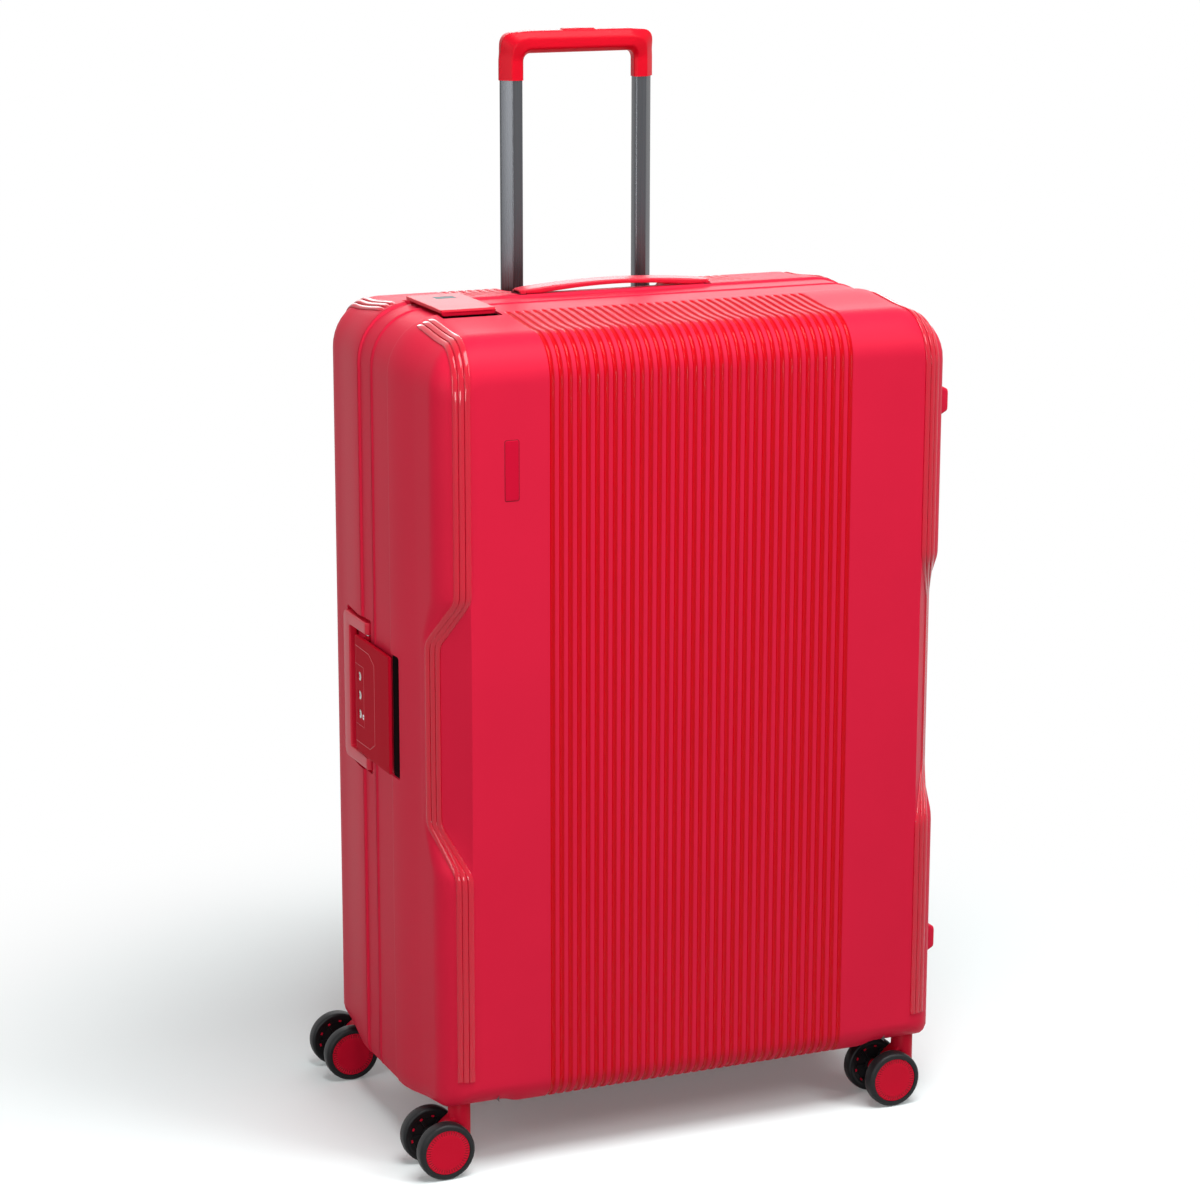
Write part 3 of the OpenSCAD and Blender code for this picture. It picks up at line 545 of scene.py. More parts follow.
lid_inner_rows = shell_rows(-1, seam_front, step_front, [], [64.9, 65.1, 68, 85, 105], [(38.9, 2.0)])
lid_outside, lid_cells = shell_cells(lid_rows, lid_radius, end_stations(shell_x), lid_left, lid_right, 50,
                                     np.linspace(0, 1, 13), True, lid_pockets)
inner_x = [-200, -190, -172, -100, -92, 0, 100, 172, 190, 200]
inner_z = [110, 180, 250, mid_z, 600, 700]
inner_lines = (wall + 1, wall - 0.1)  # beyond the inner edge of a recess, and just within it
lid_inside, lid_inner_cells = lined(
    lid_inner_rows, lid_radius, wall, True,
    inner_x + beside(inner_lines, pocket_spans["top"], pocket_spans["low"]),
    inner_z + [282, 293, 303, 314, 324, 490, 501, 511, 522, 532] + beside(inner_lines, pocket_spans["left"]),
    lid_pockets_inside(wall))
lid_shell = mesh_piece("lid_moulding", np.concatenate([
    lid_cells, lid_inner_cells, rim_between(lid_outside, lid_inside)]))
lid_shell.data.materials.append(case_red)
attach(lid_shell, "lid")
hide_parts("lid_shell")

# ---------------------------------------------------------------- corner ribs
# Three polished round ribs at each upright corner, moulded with the shell. They
# follow the corner, step back along the slanted facet at mid height, and run on
# over the top; at the bottom they end blunt.


def closed_rings(rings, centred=False):
    """Cells from each closed ring of points to the next, and a fan over both end rings,
    from the ring's first point or from its mean."""
    grid = np.concatenate([rings, rings[:, :1]], 1)
    cells = [cells_of(grid)]
    for ring in (grid[0], grid[-1]):
        hub = ring.mean(0) if centred else ring[0]
        cells.append(np.stack([np.broadcast_to(hub, ring[1:].shape), ring[:-1], ring[1:], ring[1:]], 1))
    return np.concatenate(cells)


def swept(path, normal, profile, size=1.0):
    """A closed profile (across, out) carried along a path: each station's axes are the
    path's direction, the surface normal made square to it, and their cross product. The
    size scales the profile, and may differ from station to station."""
    ahead = np.gradient(path, axis=0)
    ahead /= np.linalg.norm(ahead, axis=1)[:, None]
    out = normal - (normal * ahead).sum(1)[:, None] * ahead
    out /= np.linalg.norm(out, axis=1)[:, None]
    side = np.cross(ahead, out)
    size = np.broadcast_to(size, (len(path), 2))
    return closed_rings(path[:, None] + side[:, None] * (profile[None, :, :1] * size[:, None, :1])
                        + out[:, None] * (profile[None, :, 1:] * size[:, None, 1:]))


def mirrored(cells):
    """The same cells at the other side of the case."""
    return np.concatenate([cells, cells * [-1, 1, 1]])


def rib_line(way, step, radius, x_upright, x_top, start, facet_at):
    """The middle line of a rib on the left side, from its end on top of the case to the
    bottom, and the surface's normals along it. It follows the same draft and rounding as
    the shell, and steps back by the jog's weight where the corner has a facet."""
    r_side, r_top, _ = radius
    end_angle = math.acos(1 - (rim_half - taper - x_upright) / r_side)
    flat = np.linspace(start, face_at - r_top - 3, 14)
    share = np.sin(np.linspace(0, math.pi / 2, 26))
    on_flat = np.arange(len(flat) + len(share)) < len(flat)
    angle = np.concatenate([0 * flat, end_angle * share])
    x = np.concatenate([x_top + 0 * flat, x_top + (x_upright - x_top) * share])
    close = 1 - np.cos(angle)
    drawn = np.concatenate([flat, face_at + 0 * share])
    draft_side, draft_top = (np.where(on_flat, smooth((drawn - step) / (face_at - r - step)), 1)
                             for r in (r_side, r_top))
    half = rim_half - taper * draft_side - r_side * close
    top = rim_top - taper * draft_top - r_top * close
    r = corner_round - taper * draft_top - corner_loss * close
    turn = np.arcsin(np.clip((x - half + r) / r, 0, 1))
    depth = face_at - (r_top + (r_side - r_top) * smooth(2 * turn / math.pi)) * (1 - np.sin(angle))
    depth = np.where(on_flat, drawn, depth)
    over = np.stack([-x, way * depth, top - r * (1 - np.cos(turn))], -1)
    over_out = np.stack([-np.sin(turn) * np.cos(angle), way * np.sin(angle),
                         np.cos(turn) * np.cos(angle)], -1)
    z = np.concatenate([np.linspace(over[-1, 2] - 4, 536, 20), np.arange(534, 488, -1.5),
                        np.linspace(486, 328, 12), np.arange(326, 280, -1.5), np.linspace(278, 90, 20)])
    w = 0 * z if facet_at is None else jog_weight(z)
    along = facet_at or 0
    depth_up = face_at - r_side * (1 - math.sin(end_angle))
    x_down = x_upright * (1 - w) + (facet_x - facet_in * along) * w
    y_down = depth_up * (1 - w) + (facet_y + facet_on * along) * w
    down = np.stack([-x_down, way * y_down, z], -1)
    down_out = np.stack([-(math.cos(end_angle) * (1 - w) + 0.8 * w),
                         way * (math.sin(end_angle) * (1 - w) + 0.6 * w), 0 * z], -1)
    return np.concatenate([over, down]), np.concatenate([over_out, down_out])


def corner_ribs(name, way, step, radius, uprights, tops, start, facets):
    """The ribs of one shell, at its left and right corners: a half round, fuller than a
    circle by the power 0.45 of the sine, which fades in over its first stations."""
    t = np.linspace(0, math.pi, 15)
    half_round = np.concatenate([np.stack([2.55 * np.cos(t), 1.5 * np.sin(t) ** 0.45], -1),
                                 [[-2.5, -1.2], [2.5, -1.2]]])
    cells = []
    for x_upright, x_top, facet_at in zip(uprights, tops, facets):
        line, out = rib_line(way, step, radius, x_upright, x_top, start, facet_at)
        size = np.ones((len(line), 2))
        size[:3] = [[0.55, 0.1], [0.85, 0.75], [1, 1]]
        cells.append(swept(line, out, half_round, size))
    cells = mirrored(np.concatenate(cells))
    return mesh_piece(name, np.concatenate([cells, np.ones(cells.shape[:2] + (1,))], -1), 50)


rib_red = band_plastic("rib_red", (0.55, 0.001, 0.022), (0.55, 0.0, 0.02), 0.3, 0.65, 0.08)
lid_ribs = corner_ribs("lid_corner_ribs", -1, step_front, lid_radius, (232.9, 228.0, 222.8),
                       (228.5, 223.2, 217.8), 52, (3.0, 8.4, 13.8))
lid_ribs.data.materials.append(rib_red)
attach(lid_ribs, "lid")

# ---------------------------------------------------------------- base shell
# The rear half, moulded like the lid, with a band of channels down its back. Its top
# is cut away between the two poles for the tow handle's well, and its left side has a
# recess in which the side handle lies.
seam_rear, step_rear = 5.15, 35
well_half, well_front, well_floor, well_lip = 84.0, 50.0, 742.0, 739
well_span = (-well_half, well_half)
cup_floor = 724  # round each pole
pole_x, pole_y = 67.0, 133.0
recess_places = {"top": (pocket_spans["top"], (34, 49)), "low": (pocket_spans["low"], (34, 49)),
                 "left": ((333, 479), (16, 88))}
base_radius = (40.0, 40.0, 26.0)
base_rows = shell_rows(1, seam_rear, step_rear, [8, 12, 15.95, 16.3, 16.8, 17.6, 19.2, 24, 29, 33.95, 34.3],
                       [38, 42, 45.8, 47.4, 48.2, 48.7, 49.05, 49.95, 50.3, 52, 52.7, 53.5, 54.6, 56, 58, 64,
                        72, 79, 84.8, 86.4, 87.2, 87.7, 88.05, 95, 101, 107])
well_lines = [s * (v + t) for s in (-1, 1) for v in (well_half, 81, 53) for t in (-0.12, 0.12)]
base_ends = end_stations(np.concatenate([shell_x, well_lines]))
base_left = side_stations(beside(recess_lines, recess_places["left"][0]), [], 46)
base_right = side_stations([], [], 46)
well_depths = np.array([110, 114, 118.4, 118.6, 123, 128, 133, 138, 143, 147.4, 147.6, 151,
                        154, 156, 156.8, face_at])
well_levels = np.array([well_floor] * 13 + [741.6, 740.6, well_lip])


def lip_let_down(edge):
    """The rear edge of the top, let down between the walls of the well."""
    edge[abs(edge[:, 0]) < well_half, 2] = well_lip


def base_hollows(sides):
    """The well with a deeper cup round each pole, the side recess and the two recesses
    under the hinge ends of the latches. Their front edges stay just behind a row."""
    top = sides["top"]
    depth, bent = base_rows["table"][:, 0], base_rows["table"][:, 3] == 1
    before = 0 * depth[:-len(well_depths)]
    between = abs(top[:, :, 0]) < well_half
    for moved, e, z in ((~bent, depth, well_floor + 0 * depth),
                        (bent, np.concatenate([before, well_depths]), np.concatenate([before, well_levels]))):
        where = between & moved[:, None] & (depth[:, None] > well_front)
        top[..., 1] = np.where(where, e[:, None], top[..., 1])
        top[..., 2] = np.where(where, z[:, None], top[..., 2])
        top[..., 3] = np.where(where, 0, top[..., 3])
    cup = between & (abs(abs(top[..., 0]) - pole_x) < 14) & (abs(top[..., 1] - pole_y) < 14.5)
    top[..., 2] = np.where(cup & (top[..., 2] < well_floor + 0.1), cup_floor - 0.1, top[..., 2])
    for side, (along, deep) in recess_places.items():
        recessed(sides, side, along, (deep[0] + 0.02, deep[1]), pocket_floors[side])


def base_hollows_inside(margin, lift, cup=well_floor):
    """The same hollows seen from inside, larger by a margin and further in by the lift;
    round the poles the well goes down to cup."""
    def carve(sides):
        """Recesses the top for the well and its cups, then the three sides."""
        across_well = grown(well_span, margin)
        recessed(sides, "top", across_well, (well_front - margin, 400), well_floor - lift, 0)
        recessed(sides, "top", across_well, (119, 400), cup - lift, 0)
        for side, (along, deep) in recess_places.items():
            recessed(sides, side, grown(along, margin), grown(deep, margin),
                     pocket_floors[side] + inwards[side] * lift, 0)
    return carve


base_outside, base_cells = shell_cells(
    base_rows, base_radius, base_ends, base_left, base_right, 52,
    np.concatenate([[0, 0.006, 0.02], np.linspace(0.08, 1, 11)]), False, base_hollows, lip_let_down)
base_inner_rows = shell_rows(1, seam_rear, step_rear, [12.9, 13.1, 30.9, 31.1],
                             [46.9, 47.1, 51.9, 52.1, 54, 70, 90.9, 91.1, 92.5, 107], [(11, 2.0)])
base_lines = (wall + 1, wall + 0.1)  # both beyond the inner edge of a recess
base_inside, base_inner_cells = lined(
    base_inner_rows, base_radius, wall, False,
    inner_x + beside(base_lines, pocket_spans["top"], pocket_spans["low"], well_span)
    + beside((wall - 0.1,), well_span),
    [110, 180, 250, 370, mid_z, 450, 560, 640, 700] + beside(base_lines, recess_places["left"][0]),
    base_hollows_inside(wall, wall, cup_floor))
base_shell = mesh_piece("base_moulding", np.concatenate([
    base_cells, base_inner_cells, rim_between(base_outside, base_inside)]))
base_shell.data.materials.append(case_red)
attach(base_shell, "base")
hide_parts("base_shell")

rear_rib_red = band_plastic("rear_rib_red", (0.55, 0.001, 0.022), (0.55, 0.0, 0.02), 0.34, 0.2, 0.08)
base_ribs = corner_ribs("base_corner_ribs", 1, step_rear, base_radius, (228.0, 222.6, 217.2),
                        (228.5, 223.0, 217.5), 41, (None, None, None))
base_ribs.data.materials.append(rear_rib_red)
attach(base_ribs, "base")

# ---------------------------------------------------------------- linings
# Both shells are lined with a grey woven polyester over thin foam, tacked in all
# round. It steps over the caster sockets, the guide tubes and the handle's well.


def woven(name, colour, pitch, thread=0.5):
    """Plain-woven cloth: the height is the sum of the products, two by two, of waves
    along the three axes, one wave to each thread."""
    paint, tree, shader = new_paint(name)
    place = add_node(tree, "TexCoord").outputs["Object"]
    waves = [add_node(tree, "TexWave", {"Vector": place, "Scale": 0.314 / pitch},
                      bands_direction=axis).outputs["Fac"] for axis in "XYZ"]
    total = add_node(tree, "Math", {0: waves[0], 1: waves[2]}, operation="MULTIPLY").outputs[0]
    for a, b in ((1, 2), (0, 1)):
        total = add_node(tree, "Math", {0: waves[a], 1: waves[b], 2: total},
                         operation="MULTIPLY_ADD").outputs[0]
    bump = add_node(tree, "Bump", {"Distance": pitch * 0.3, "Strength": 0.5, "Height": total})
    set_inputs(tree, shader, {
        "Base Color": blended(tree, total, [c * thread for c in colour], colour),
        "Roughness": 0.85,
        "Sheen Weight": 0.25,
        "Normal": bump.outputs["Normal"]})
    return paint


lining_grey = woven("lining_grey", (0.115, 0.12, 0.13), 0.0011)


cloth_faces = (4.2, 5.2)  # how far in from the shell's outside the cloth's two faces lie


def lining(name, rows, radius, facet, x_at, z_at, hollows, way, corner):
    """A closed cloth 1 mm thick between two insets of the shell, with a moulded cover over
    each caster socket: a box rounded by 8 mm, up to the lining's own corner."""
    x_lines = [v + t for v in x_at for t in (-0.4, 0.4)] + list(np.linspace(-172, 172, 13)) + [-190, 190]
    z_lines = [v + t for v in z_at for t in (-0.4, 0.4)] + list(np.linspace(110, 700, 15))
    (outer, outer_cells), (inner, inner_cells) = (
        lined(rows, radius, inset, facet, x_lines, z_lines, hollows(inset)) for inset in cloth_faces)
    turn = np.linspace(0, math.pi / 2, 9)
    bend = np.stack([np.cos(turn), np.sin(turn)], -1)
    side_end, face_end = [[245.2, 100.5]], [[195.5, 153.2]]
    lining_corner = np.array([249.0 - corner, face_at - corner]) + (corner - 3.8) * bend
    lining_corner = np.concatenate([side_end, lining_corner, face_end])
    box = np.concatenate([side_end, [203.5, 108.5] - 8 * bend[::-1], face_end])
    levels = [(lining_corner, 1.0, 92.4), (box, 0.05, 92.4), (box, 0.015, 91.8),
              (box, 0.0, 90.2), (box, 0.0, 65.0)]
    cover = cells_of(np.stack([
        np.column_stack([(line + (lining_corner - line) * share) * [1, way], np.full(len(line), z)])
        for line, share, z in levels]))
    cloth = [outer_cells, inner_cells, rim_between(outer, inner)]
    piece = mesh_piece(name, np.concatenate([c[..., :3] for c in cloth] + [mirrored(cover)]), 40)
    piece.data.materials.append(lining_grey)
    return piece


def base_lining_hollows(margin):
    """The base's hollows grown by a margin, with the channel in front of the guide tubes
    and the pocket under the top for the well and the carry handle's feet."""
    def carve(sides):
        """Recesses the shell's hollows, then brings the cloth forward and down."""
        base_hollows_inside(margin, margin)(sides)
        for side in ("top", "low"):
            p = sides[side]
            in_channel = abs(p[..., 0]) < well_half + margin
            p[..., 1] = np.where(in_channel, np.minimum(p[..., 1], 122 - margin), p[..., 1])
        p = sides["top"]
        under = (abs(p[..., 0]) < 96 + margin) & (p[..., 1] > 41 - margin)
        p[..., 2] = np.where(under, np.minimum(p[..., 2], well_floor - margin), p[..., 2])
    return carve


latch_cloth_x = beside(cloth_faces, pocket_spans["top"], pocket_spans["low"])
lid_cloth_rows = shell_rows(-1, -11, step_front, [], [43, 57.0, 57.6, 58.0, 58.6, 66.0, 66.6,
                                                      67.0, 67.6, 80, 92, 105], [(37, 2), (38.2, 2)])
lid_lining = lining("lid_lining_cloth", lid_cloth_rows, lid_radius, True, latch_cloth_x,
                    beside(cloth_faces, pocket_spans["left"]) + [282, 324, 490, 532],
                    lid_pockets_inside, -1, 28)
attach(lid_lining, "lid")
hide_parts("lid_lining")
base_cloth_rows = shell_rows(1, 14.5, step_rear, [28.4, 29.2, 29.5, 30.3],
                             [37.3, 46, 52.8, 53.6, 53.9, 54.6, 70, 91.8, 92.6, 92.9, 93.6, 105], [(20, 2)])
base_lining = lining("base_lining_cloth", base_cloth_rows, base_radius, False,
                     beside(cloth_faces, well_span, (-96, 96)) + latch_cloth_x,
                     beside(cloth_faces, recess_places["left"][0]), base_lining_hollows, 1, 40)
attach(base_lining, "base")
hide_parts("base_lining")

# ---------------------------------------------------------------- rim seal
# An extruded rubber lip glued inside the base's rim. It stands forward across the
# joint and keeps rain out of the closed case.


def soft_black(name, colour, rough, grain):
    """Rubber or moulded black plastic: dark, with a fine grain of the given size."""
    paint, tree, shader = new_paint(name)
    place = add_node(tree, "TexCoord").outputs["Object"]
    noise = add_node(tree, "TexNoise", {"Vector": place, "Scale": 1 / grain, "Detail": 4}).outputs["Fac"]
    bump = add_node(tree, "Bump", {"Distance": 0.0002, "Strength": 0.3, "Height": noise})
    set_inputs(tree, shader, {
        "Base Color": blended(tree, noise, colour, [c * 1.5 for c in colour]),
        "Roughness": ranged(tree, noise, rough - 0.08, rough + 0.08),
        "Specular IOR Level": 0.2,
        "Normal": bump.outputs["Normal"]})
    return paint


def outline_at(depths, inset, way=1):
    """Rows of a plain rim's outline, one for each depth, inset by some millimetres."""
    rows = dict(way=way, step=200.0, table=np.array([[e, 2.0, 0.0, 0.0] for e in depths]))
    ends = end_stations(np.linspace(-195, 195, 40))
    flanks = side_stations([], np.linspace(120, 690, 58), 0)
    return {side: shell_side(side, *stations, rows, base_radius, inset)
            for side, stations in dict(top=ends, low=ends, left=flanks, right=flanks).items()}


seal_rubber = soft_black("seal_rubber", (0.022, 0.022, 0.024), 0.6, 0.0008)
outer_lip, inner_lip = outline_at([-2, 0, 12.5], 3.4), outline_at([12.5, 0, -1.4, -2], 5.2)
rim_seal = mesh_piece("rim_seal_lip", np.concatenate([
    cells_of(np.concatenate([outer_lip[s], inner_lip[s], outer_lip[s][:1]])) for s in outer_lip]))
rim_seal.data.materials.append(seal_rubber)
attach(rim_seal, "base")
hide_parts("rim_seal")

# ---------------------------------------------------------------- divider
# A padded panel that closes the lid's half: cloth over foam, crowned on both sides,
# with a piped border, a zip all round it and a zipped pocket across.


def toothed(path, pitch, size):
    """Zip teeth: a small block (along, across, high) at equal steps of the path, in the
    plane Y = constant and standing towards +Y."""
    run = run_along(path)
    at = np.arange(0, run[-1], pitch)
    place = np.stack([np.interp(at, run, path[:, i]) for i in range(3)], -1)
    ahead = np.stack([np.interp(at + 0.5, run, path[:, i]) for i in range(3)], -1) - place
    ahead /= np.maximum(np.linalg.norm(ahead, axis=1), 1e-6)[:, None]
    side = np.cross(ahead, [0, 1, 0])
    corner = np.array([[a, b, c] for c in (0, 1) for a, b in ((-1, -1), (1, -1), (1, 1), (-1, 1))])
    block = (place[:, None] + ahead[:, None] * corner[:, :1] * size[0] / 2
             + side[:, None] * corner[:, 1:2] * size[1] / 2
             + np.array([0, 1, 0]) * corner[:, 2:] * size[2])
    sides = [[0, 1, 5, 4], [1, 2, 6, 5], [2, 3, 7, 6], [3, 0, 4, 7], [4, 5, 6, 7], [3, 2, 1, 0]]
    return np.concatenate([block[:, f] for f in sides])


def rounded_path(half_x, low, high, r, y):
    """A closed rounded rectangle in the plane Y = y, from the middle of its top."""
    turn = np.linspace(0, math.pi / 2, 10)
    bends = [((1, 1), turn[::-1]), ((1, -1), -turn), ((-1, -1), -turn[::-1]), ((-1, 1), turn)]
    points = [[0, high]]
    for (sx, sz), t in bends:
        middle = [sx * (half_x - r), (high - r) if sz > 0 else (low + r)]
        points += [[middle[0] + sx * r * math.cos(a), middle[1] + r * math.sin(a)] for a in t]
    points = np.array(points + [[0, high]], float)
    run = run_along(points)
    at = np.linspace(0, run[-1], 360)
    return np.stack([np.interp(at, run, points[:, 0]), 0 * at + y, np.interp(at, run, points[:, 1])], -1)


def cord_round(radius, n=10):
    """A round profile, as (across, out) pairs."""
    t = np.linspace(0, 2 * math.pi, n, endpoint=False)
    return radius * np.stack([np.cos(t), np.sin(t)], -1)


def quilted_panel(crown_rise, square):
    """The divider's two faces: the lid's rim outline filled in and crowned by the product
    of 1 - |2u - 1|^24 and 1 - |2v - 1|^24, lower by the root of the distance to crossed
    lines of stitches."""
    edge = {side: points[0] for side, points in outline_at([8.0], 3.6, -1).items()}
    panel = filled(edge["top"], edge["low"], edge["left"], edge["right"])
    u = np.linspace(0, 1, panel.shape[1])[None]
    v = np.linspace(0, 1, panel.shape[0])[:, None]
    crown = crown_rise * (1 - abs(2 * u - 1) ** 24) * (1 - abs(2 * v - 1) ** 24)
    off_a, off_b = (abs(((panel[..., 0] + way * panel[..., 2]) / square) % 1 - 0.5) for way in (1, -1))
    crown = crown * (0.72 + 0.28 * np.sqrt(np.clip(np.minimum(off_a, off_b) * 2, 0, 1)))
    return np.concatenate([cells_of(panel + np.stack([0 * crown, way * crown, 0 * crown], -1))
                           for way in (-1, 1)])


divider = mesh_piece("divider_panel", quilted_panel(2.6, 52), 60)
divider_cloth = woven("divider_cloth", (0.2, 0.205, 0.22), 0.0014, 0.6)
divider.data.materials.append(divider_cloth)
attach(divider, "lid")
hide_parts("lid_divider")

# The piping, the zip round the panel and the pocket's zip: round cord, flat tapes, teeth.
trim_black = soft_black("trim_black", (0.018, 0.018, 0.02), 0.5, 0.0006)
backwards, forwards = [0.0, 1.0, 0.0], [0.0, -1.0, 0.0]
round_border = rounded_path(222, 86, 735, 40, -5.6)
round_zip = rounded_path(240, 74, 752, 36, -6.2)
pocket_zip = np.stack([np.linspace(-185, 185, 90), np.full(90, -5.4), np.full(90, 590.0)], -1)
tape = np.array([[6.5, -0.4], [6.5, 0.3], [-6.5, 0.3], [-6.5, -0.4]])
tooth_pitch, tooth_size = 2.6, (1.5, 4.4, 1.2)
trims = mesh_piece("divider_trims", np.concatenate([
    swept(round_border, backwards, cord_round(1.7)),
    swept(round_zip, backwards, tape),
    swept(pocket_zip, backwards, tape),
    toothed(round_zip + [0, 0.2, 0], tooth_pitch, tooth_size),
    toothed(pocket_zip + [0, 0.2, 0], tooth_pitch, tooth_size)]), 40)
trims.data.materials.append(trim_black)
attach(trims, "lid")

# ---------------------------------------------------------------- packing straps
# Two crossed webbing straps hold the clothes in the base: four lengths sewn to tabs at
# the sides, with a ladder slider on the upper ones, meeting in a flat plastic buckle.


strap_y = 22.7
strap_angle = math.atan2(150, 248.3)
strap_ways = ((-1, 1), (1, 1), (-1, -1), (1, -1))


def on_front(p):
    """Plate places (left to right, height, outwards) put at the buckle, facing -Y."""
    return np.stack([p[..., 0], strap_y - p[..., 2], mid_z + p[..., 1]], -1)


def rounded_loop(points, cut, n=4):
    """A polygon with each corner V replaced by the parabola from A to B, the points at the
    cut distance along its two sides: (1-t)^2 A + 2t(1-t) V + t^2 B."""
    back, on = np.roll(points, 1, 0) - points, np.roll(points, -1, 0) - points
    a = points + back / np.maximum(np.linalg.norm(back, axis=1), 1e-9)[:, None] * cut[:, None]
    b = points + on / np.maximum(np.linalg.norm(on, axis=1), 1e-9)[:, None] * cut[:, None]
    t = np.linspace(0, 1, n + 1)[None, :, None]
    curves = (1 - t) ** 2 * a[:, None] + 2 * t * (1 - t) * points[:, None] + t ** 2 * b[:, None]
    return curves.reshape(-1, 2)


def softened(size, cut, n=4):
    """A rectangle of half sizes, as (across, out), with its corners rounded off."""
    corners = np.array(size, float) * np.array([[1, 1], [-1, 1], [-1, -1], [1, -1]])
    return rounded_loop(corners, np.full(4, cut), n)


def plate(u, v, top, under, round_to=0.0, holes=()):
    """A moulded plate over a grid of lines u and v, as (u, v, height): its corners are
    squares bent into quarter discs, each hole (u, v, r, h) is a circle joined to the
    square of half side h round it, and the wall drops straight to the underside."""
    flat_u, flat_v = np.meshgrid(u, v, indexing="ij")
    pu, pv = flat_u.copy(), flat_v.copy()
    if round_to:
        middle_u, middle_v = ((lines[0] + lines[-1]) / 2 for lines in (u, v))
        half_u, half_v = u[-1] - middle_u - round_to, v[-1] - middle_v - round_to
        a = np.maximum(abs(flat_u - middle_u) - half_u, 0) / round_to
        b = np.maximum(abs(flat_v - middle_v) - half_v, 0) / round_to
        in_corner = (a > 0) & (b > 0)
        round_u = half_u + round_to * a * np.sqrt(1 - b * b / 2)
        round_v = half_v + round_to * b * np.sqrt(1 - a * a / 2)
        pu = np.where(in_corner, middle_u + np.sign(flat_u - middle_u) * round_u, flat_u)
        pv = np.where(in_corner, middle_v + np.sign(flat_v - middle_v) * round_v, flat_v)
    upper = np.stack([pu, pv, top(pu, pv)], -1)
    lower = np.stack([pu, pv, under(pu, pv)], -1)
    cell_u, cell_v = (cells_of(lines[..., None])[..., 0].mean(1) for lines in (flat_u, flat_v))
    keep = np.ones(len(cell_u), bool)
    for hole_u, hole_v, _, h in holes:
        keep &= np.maximum(abs(cell_u - hole_u), abs(cell_v - hole_v)) > h
    loops = [np.concatenate([g[:-1, 0], g[-1, :-1], g[:0:-1, -1], g[0, ::-1]]) for g in (upper, lower)]
    cells = [cells_of(upper)[keep], cells_of(lower)[keep], cells_of(np.stack(loops))]
    for hole_u, hole_v, r, h in holes:
        on_square = abs(np.maximum(abs(flat_u - hole_u), abs(flat_v - hole_v)) - h) < 1e-6
        angle = np.arctan2(flat_v[on_square] - hole_v, flat_u[on_square] - hole_u)
        order = np.argsort(angle)
        order = np.append(order, order[0])
        angle = angle[order]
        above, below = upper[on_square][order], lower[on_square][order]

        def circle(size, height):
            """The points of a circle at the angles of the square's points."""
            x, y = hole_u + size * np.cos(angle), hole_v + size * np.sin(angle)
            return np.stack([x, y, height(x, y)], -1)
        rings = [above, circle(r + 0.35, top), circle(r + 0.1, lambda x, y: top(x, y) - 0.1),
                 circle(r, lambda x, y: top(x, y) - 0.4), circle(r, under), below]
        cells.append(cells_of(np.stack(rings)))
    return np.concatenate(cells)


def from_edge(distance, r):
    """How far a rounded edge of radius r has dropped at a distance from the edge."""
    d = np.clip(r - distance, 0, r)
    return r - np.sqrt(np.maximum(r * r - d * d, 0))


def strap_line(sx, sz, run):
    """Places along one of the four lengths, by their distance from the buckle."""
    return np.stack([sx * run * math.cos(strap_angle), strap_y + 0 * run,
                     mid_z + sz * run * math.sin(strap_angle)], -1)


webbing = woven("strap_webbing", (0.05, 0.052, 0.058), 0.0016, 0.45)
strap_profile = softened((15, 0.7), 0.6, 3)
strap_run = np.linspace(26, 279, 48)
straps = mesh_piece("packing_straps_webbing", np.concatenate([
    swept(strap_line(sx, sz, strap_run), forwards, strap_profile) for sx, sz in strap_ways]), 50)
straps.data.materials.append(webbing)
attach(straps, "base")
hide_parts("packing_straps")

# The tabs at the ends, the ladder sliders (two bars across and two along) and the buckle.
black_plastic = soft_black("black_plastic", (0.03, 0.03, 0.033), 0.38, 0.0005)
tab_run, slider_runs = (268, 277, 1.5), ((118, 121, 2.0), (128, 131, 2.0))
fittings = []
for sx, sz in strap_ways:
    for start, stop, thick in (tab_run,) + (slider_runs if sz > 0 else ()):
        line = strap_line(sx, sz, np.linspace(start, stop, 4))
        fittings.append(swept(line, forwards, softened((16, thick), 0.9, 3)))
    if sz > 0:
        run = np.linspace(117, 132, 5)[:, None]
        along_strap = np.array([sx * math.cos(strap_angle), 0, math.sin(strap_angle)])
        across_strap = np.array([-sx * math.sin(strap_angle), 0, math.cos(strap_angle)])
        for side in (-16, 16):
            line = run * along_strap + across_strap * side + [0, strap_y, mid_z]
            fittings.append(swept(line, forwards, softened((1.6, 2.0), 0.6, 3)))
buckle_u = np.unique(np.concatenate([np.linspace(-24, 24, 25), [-23.5, 23.5], np.linspace(-20, -10, 9),
                                     np.linspace(10, 20, 9)]))
buckle_v = np.unique(np.concatenate([np.linspace(-32, 32, 33), [-31.5, 31.5], np.linspace(-5, 5, 9)]))


def buckle_face(u, v):
    """Domed, with rounded edges and a finger groove across the middle."""
    edge = np.minimum(24 - abs(u), 32 - abs(v))
    return 2.9 - from_edge(edge, 1.2) + 0.3 * (1 - (u / 24) ** 2) - 0.7 * np.exp(-((v / 1.2) ** 2))


def buckle_back(u, v):
    """Flat, with rounded edges."""
    return -2.9 + from_edge(np.minimum(24 - abs(u), 32 - abs(v)), 0.8)


fittings.append(on_front(plate(buckle_u, buckle_v, buckle_face, buckle_back, 8.0,
                               ((-15, 0, 3.4, 5), (15, 0, 3.4, 5)))))
buckle = mesh_piece("strap_fittings", np.concatenate(fittings), 40)
buckle.data.materials.append(black_plastic)
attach(buckle, "base")
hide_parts("strap_buckle")

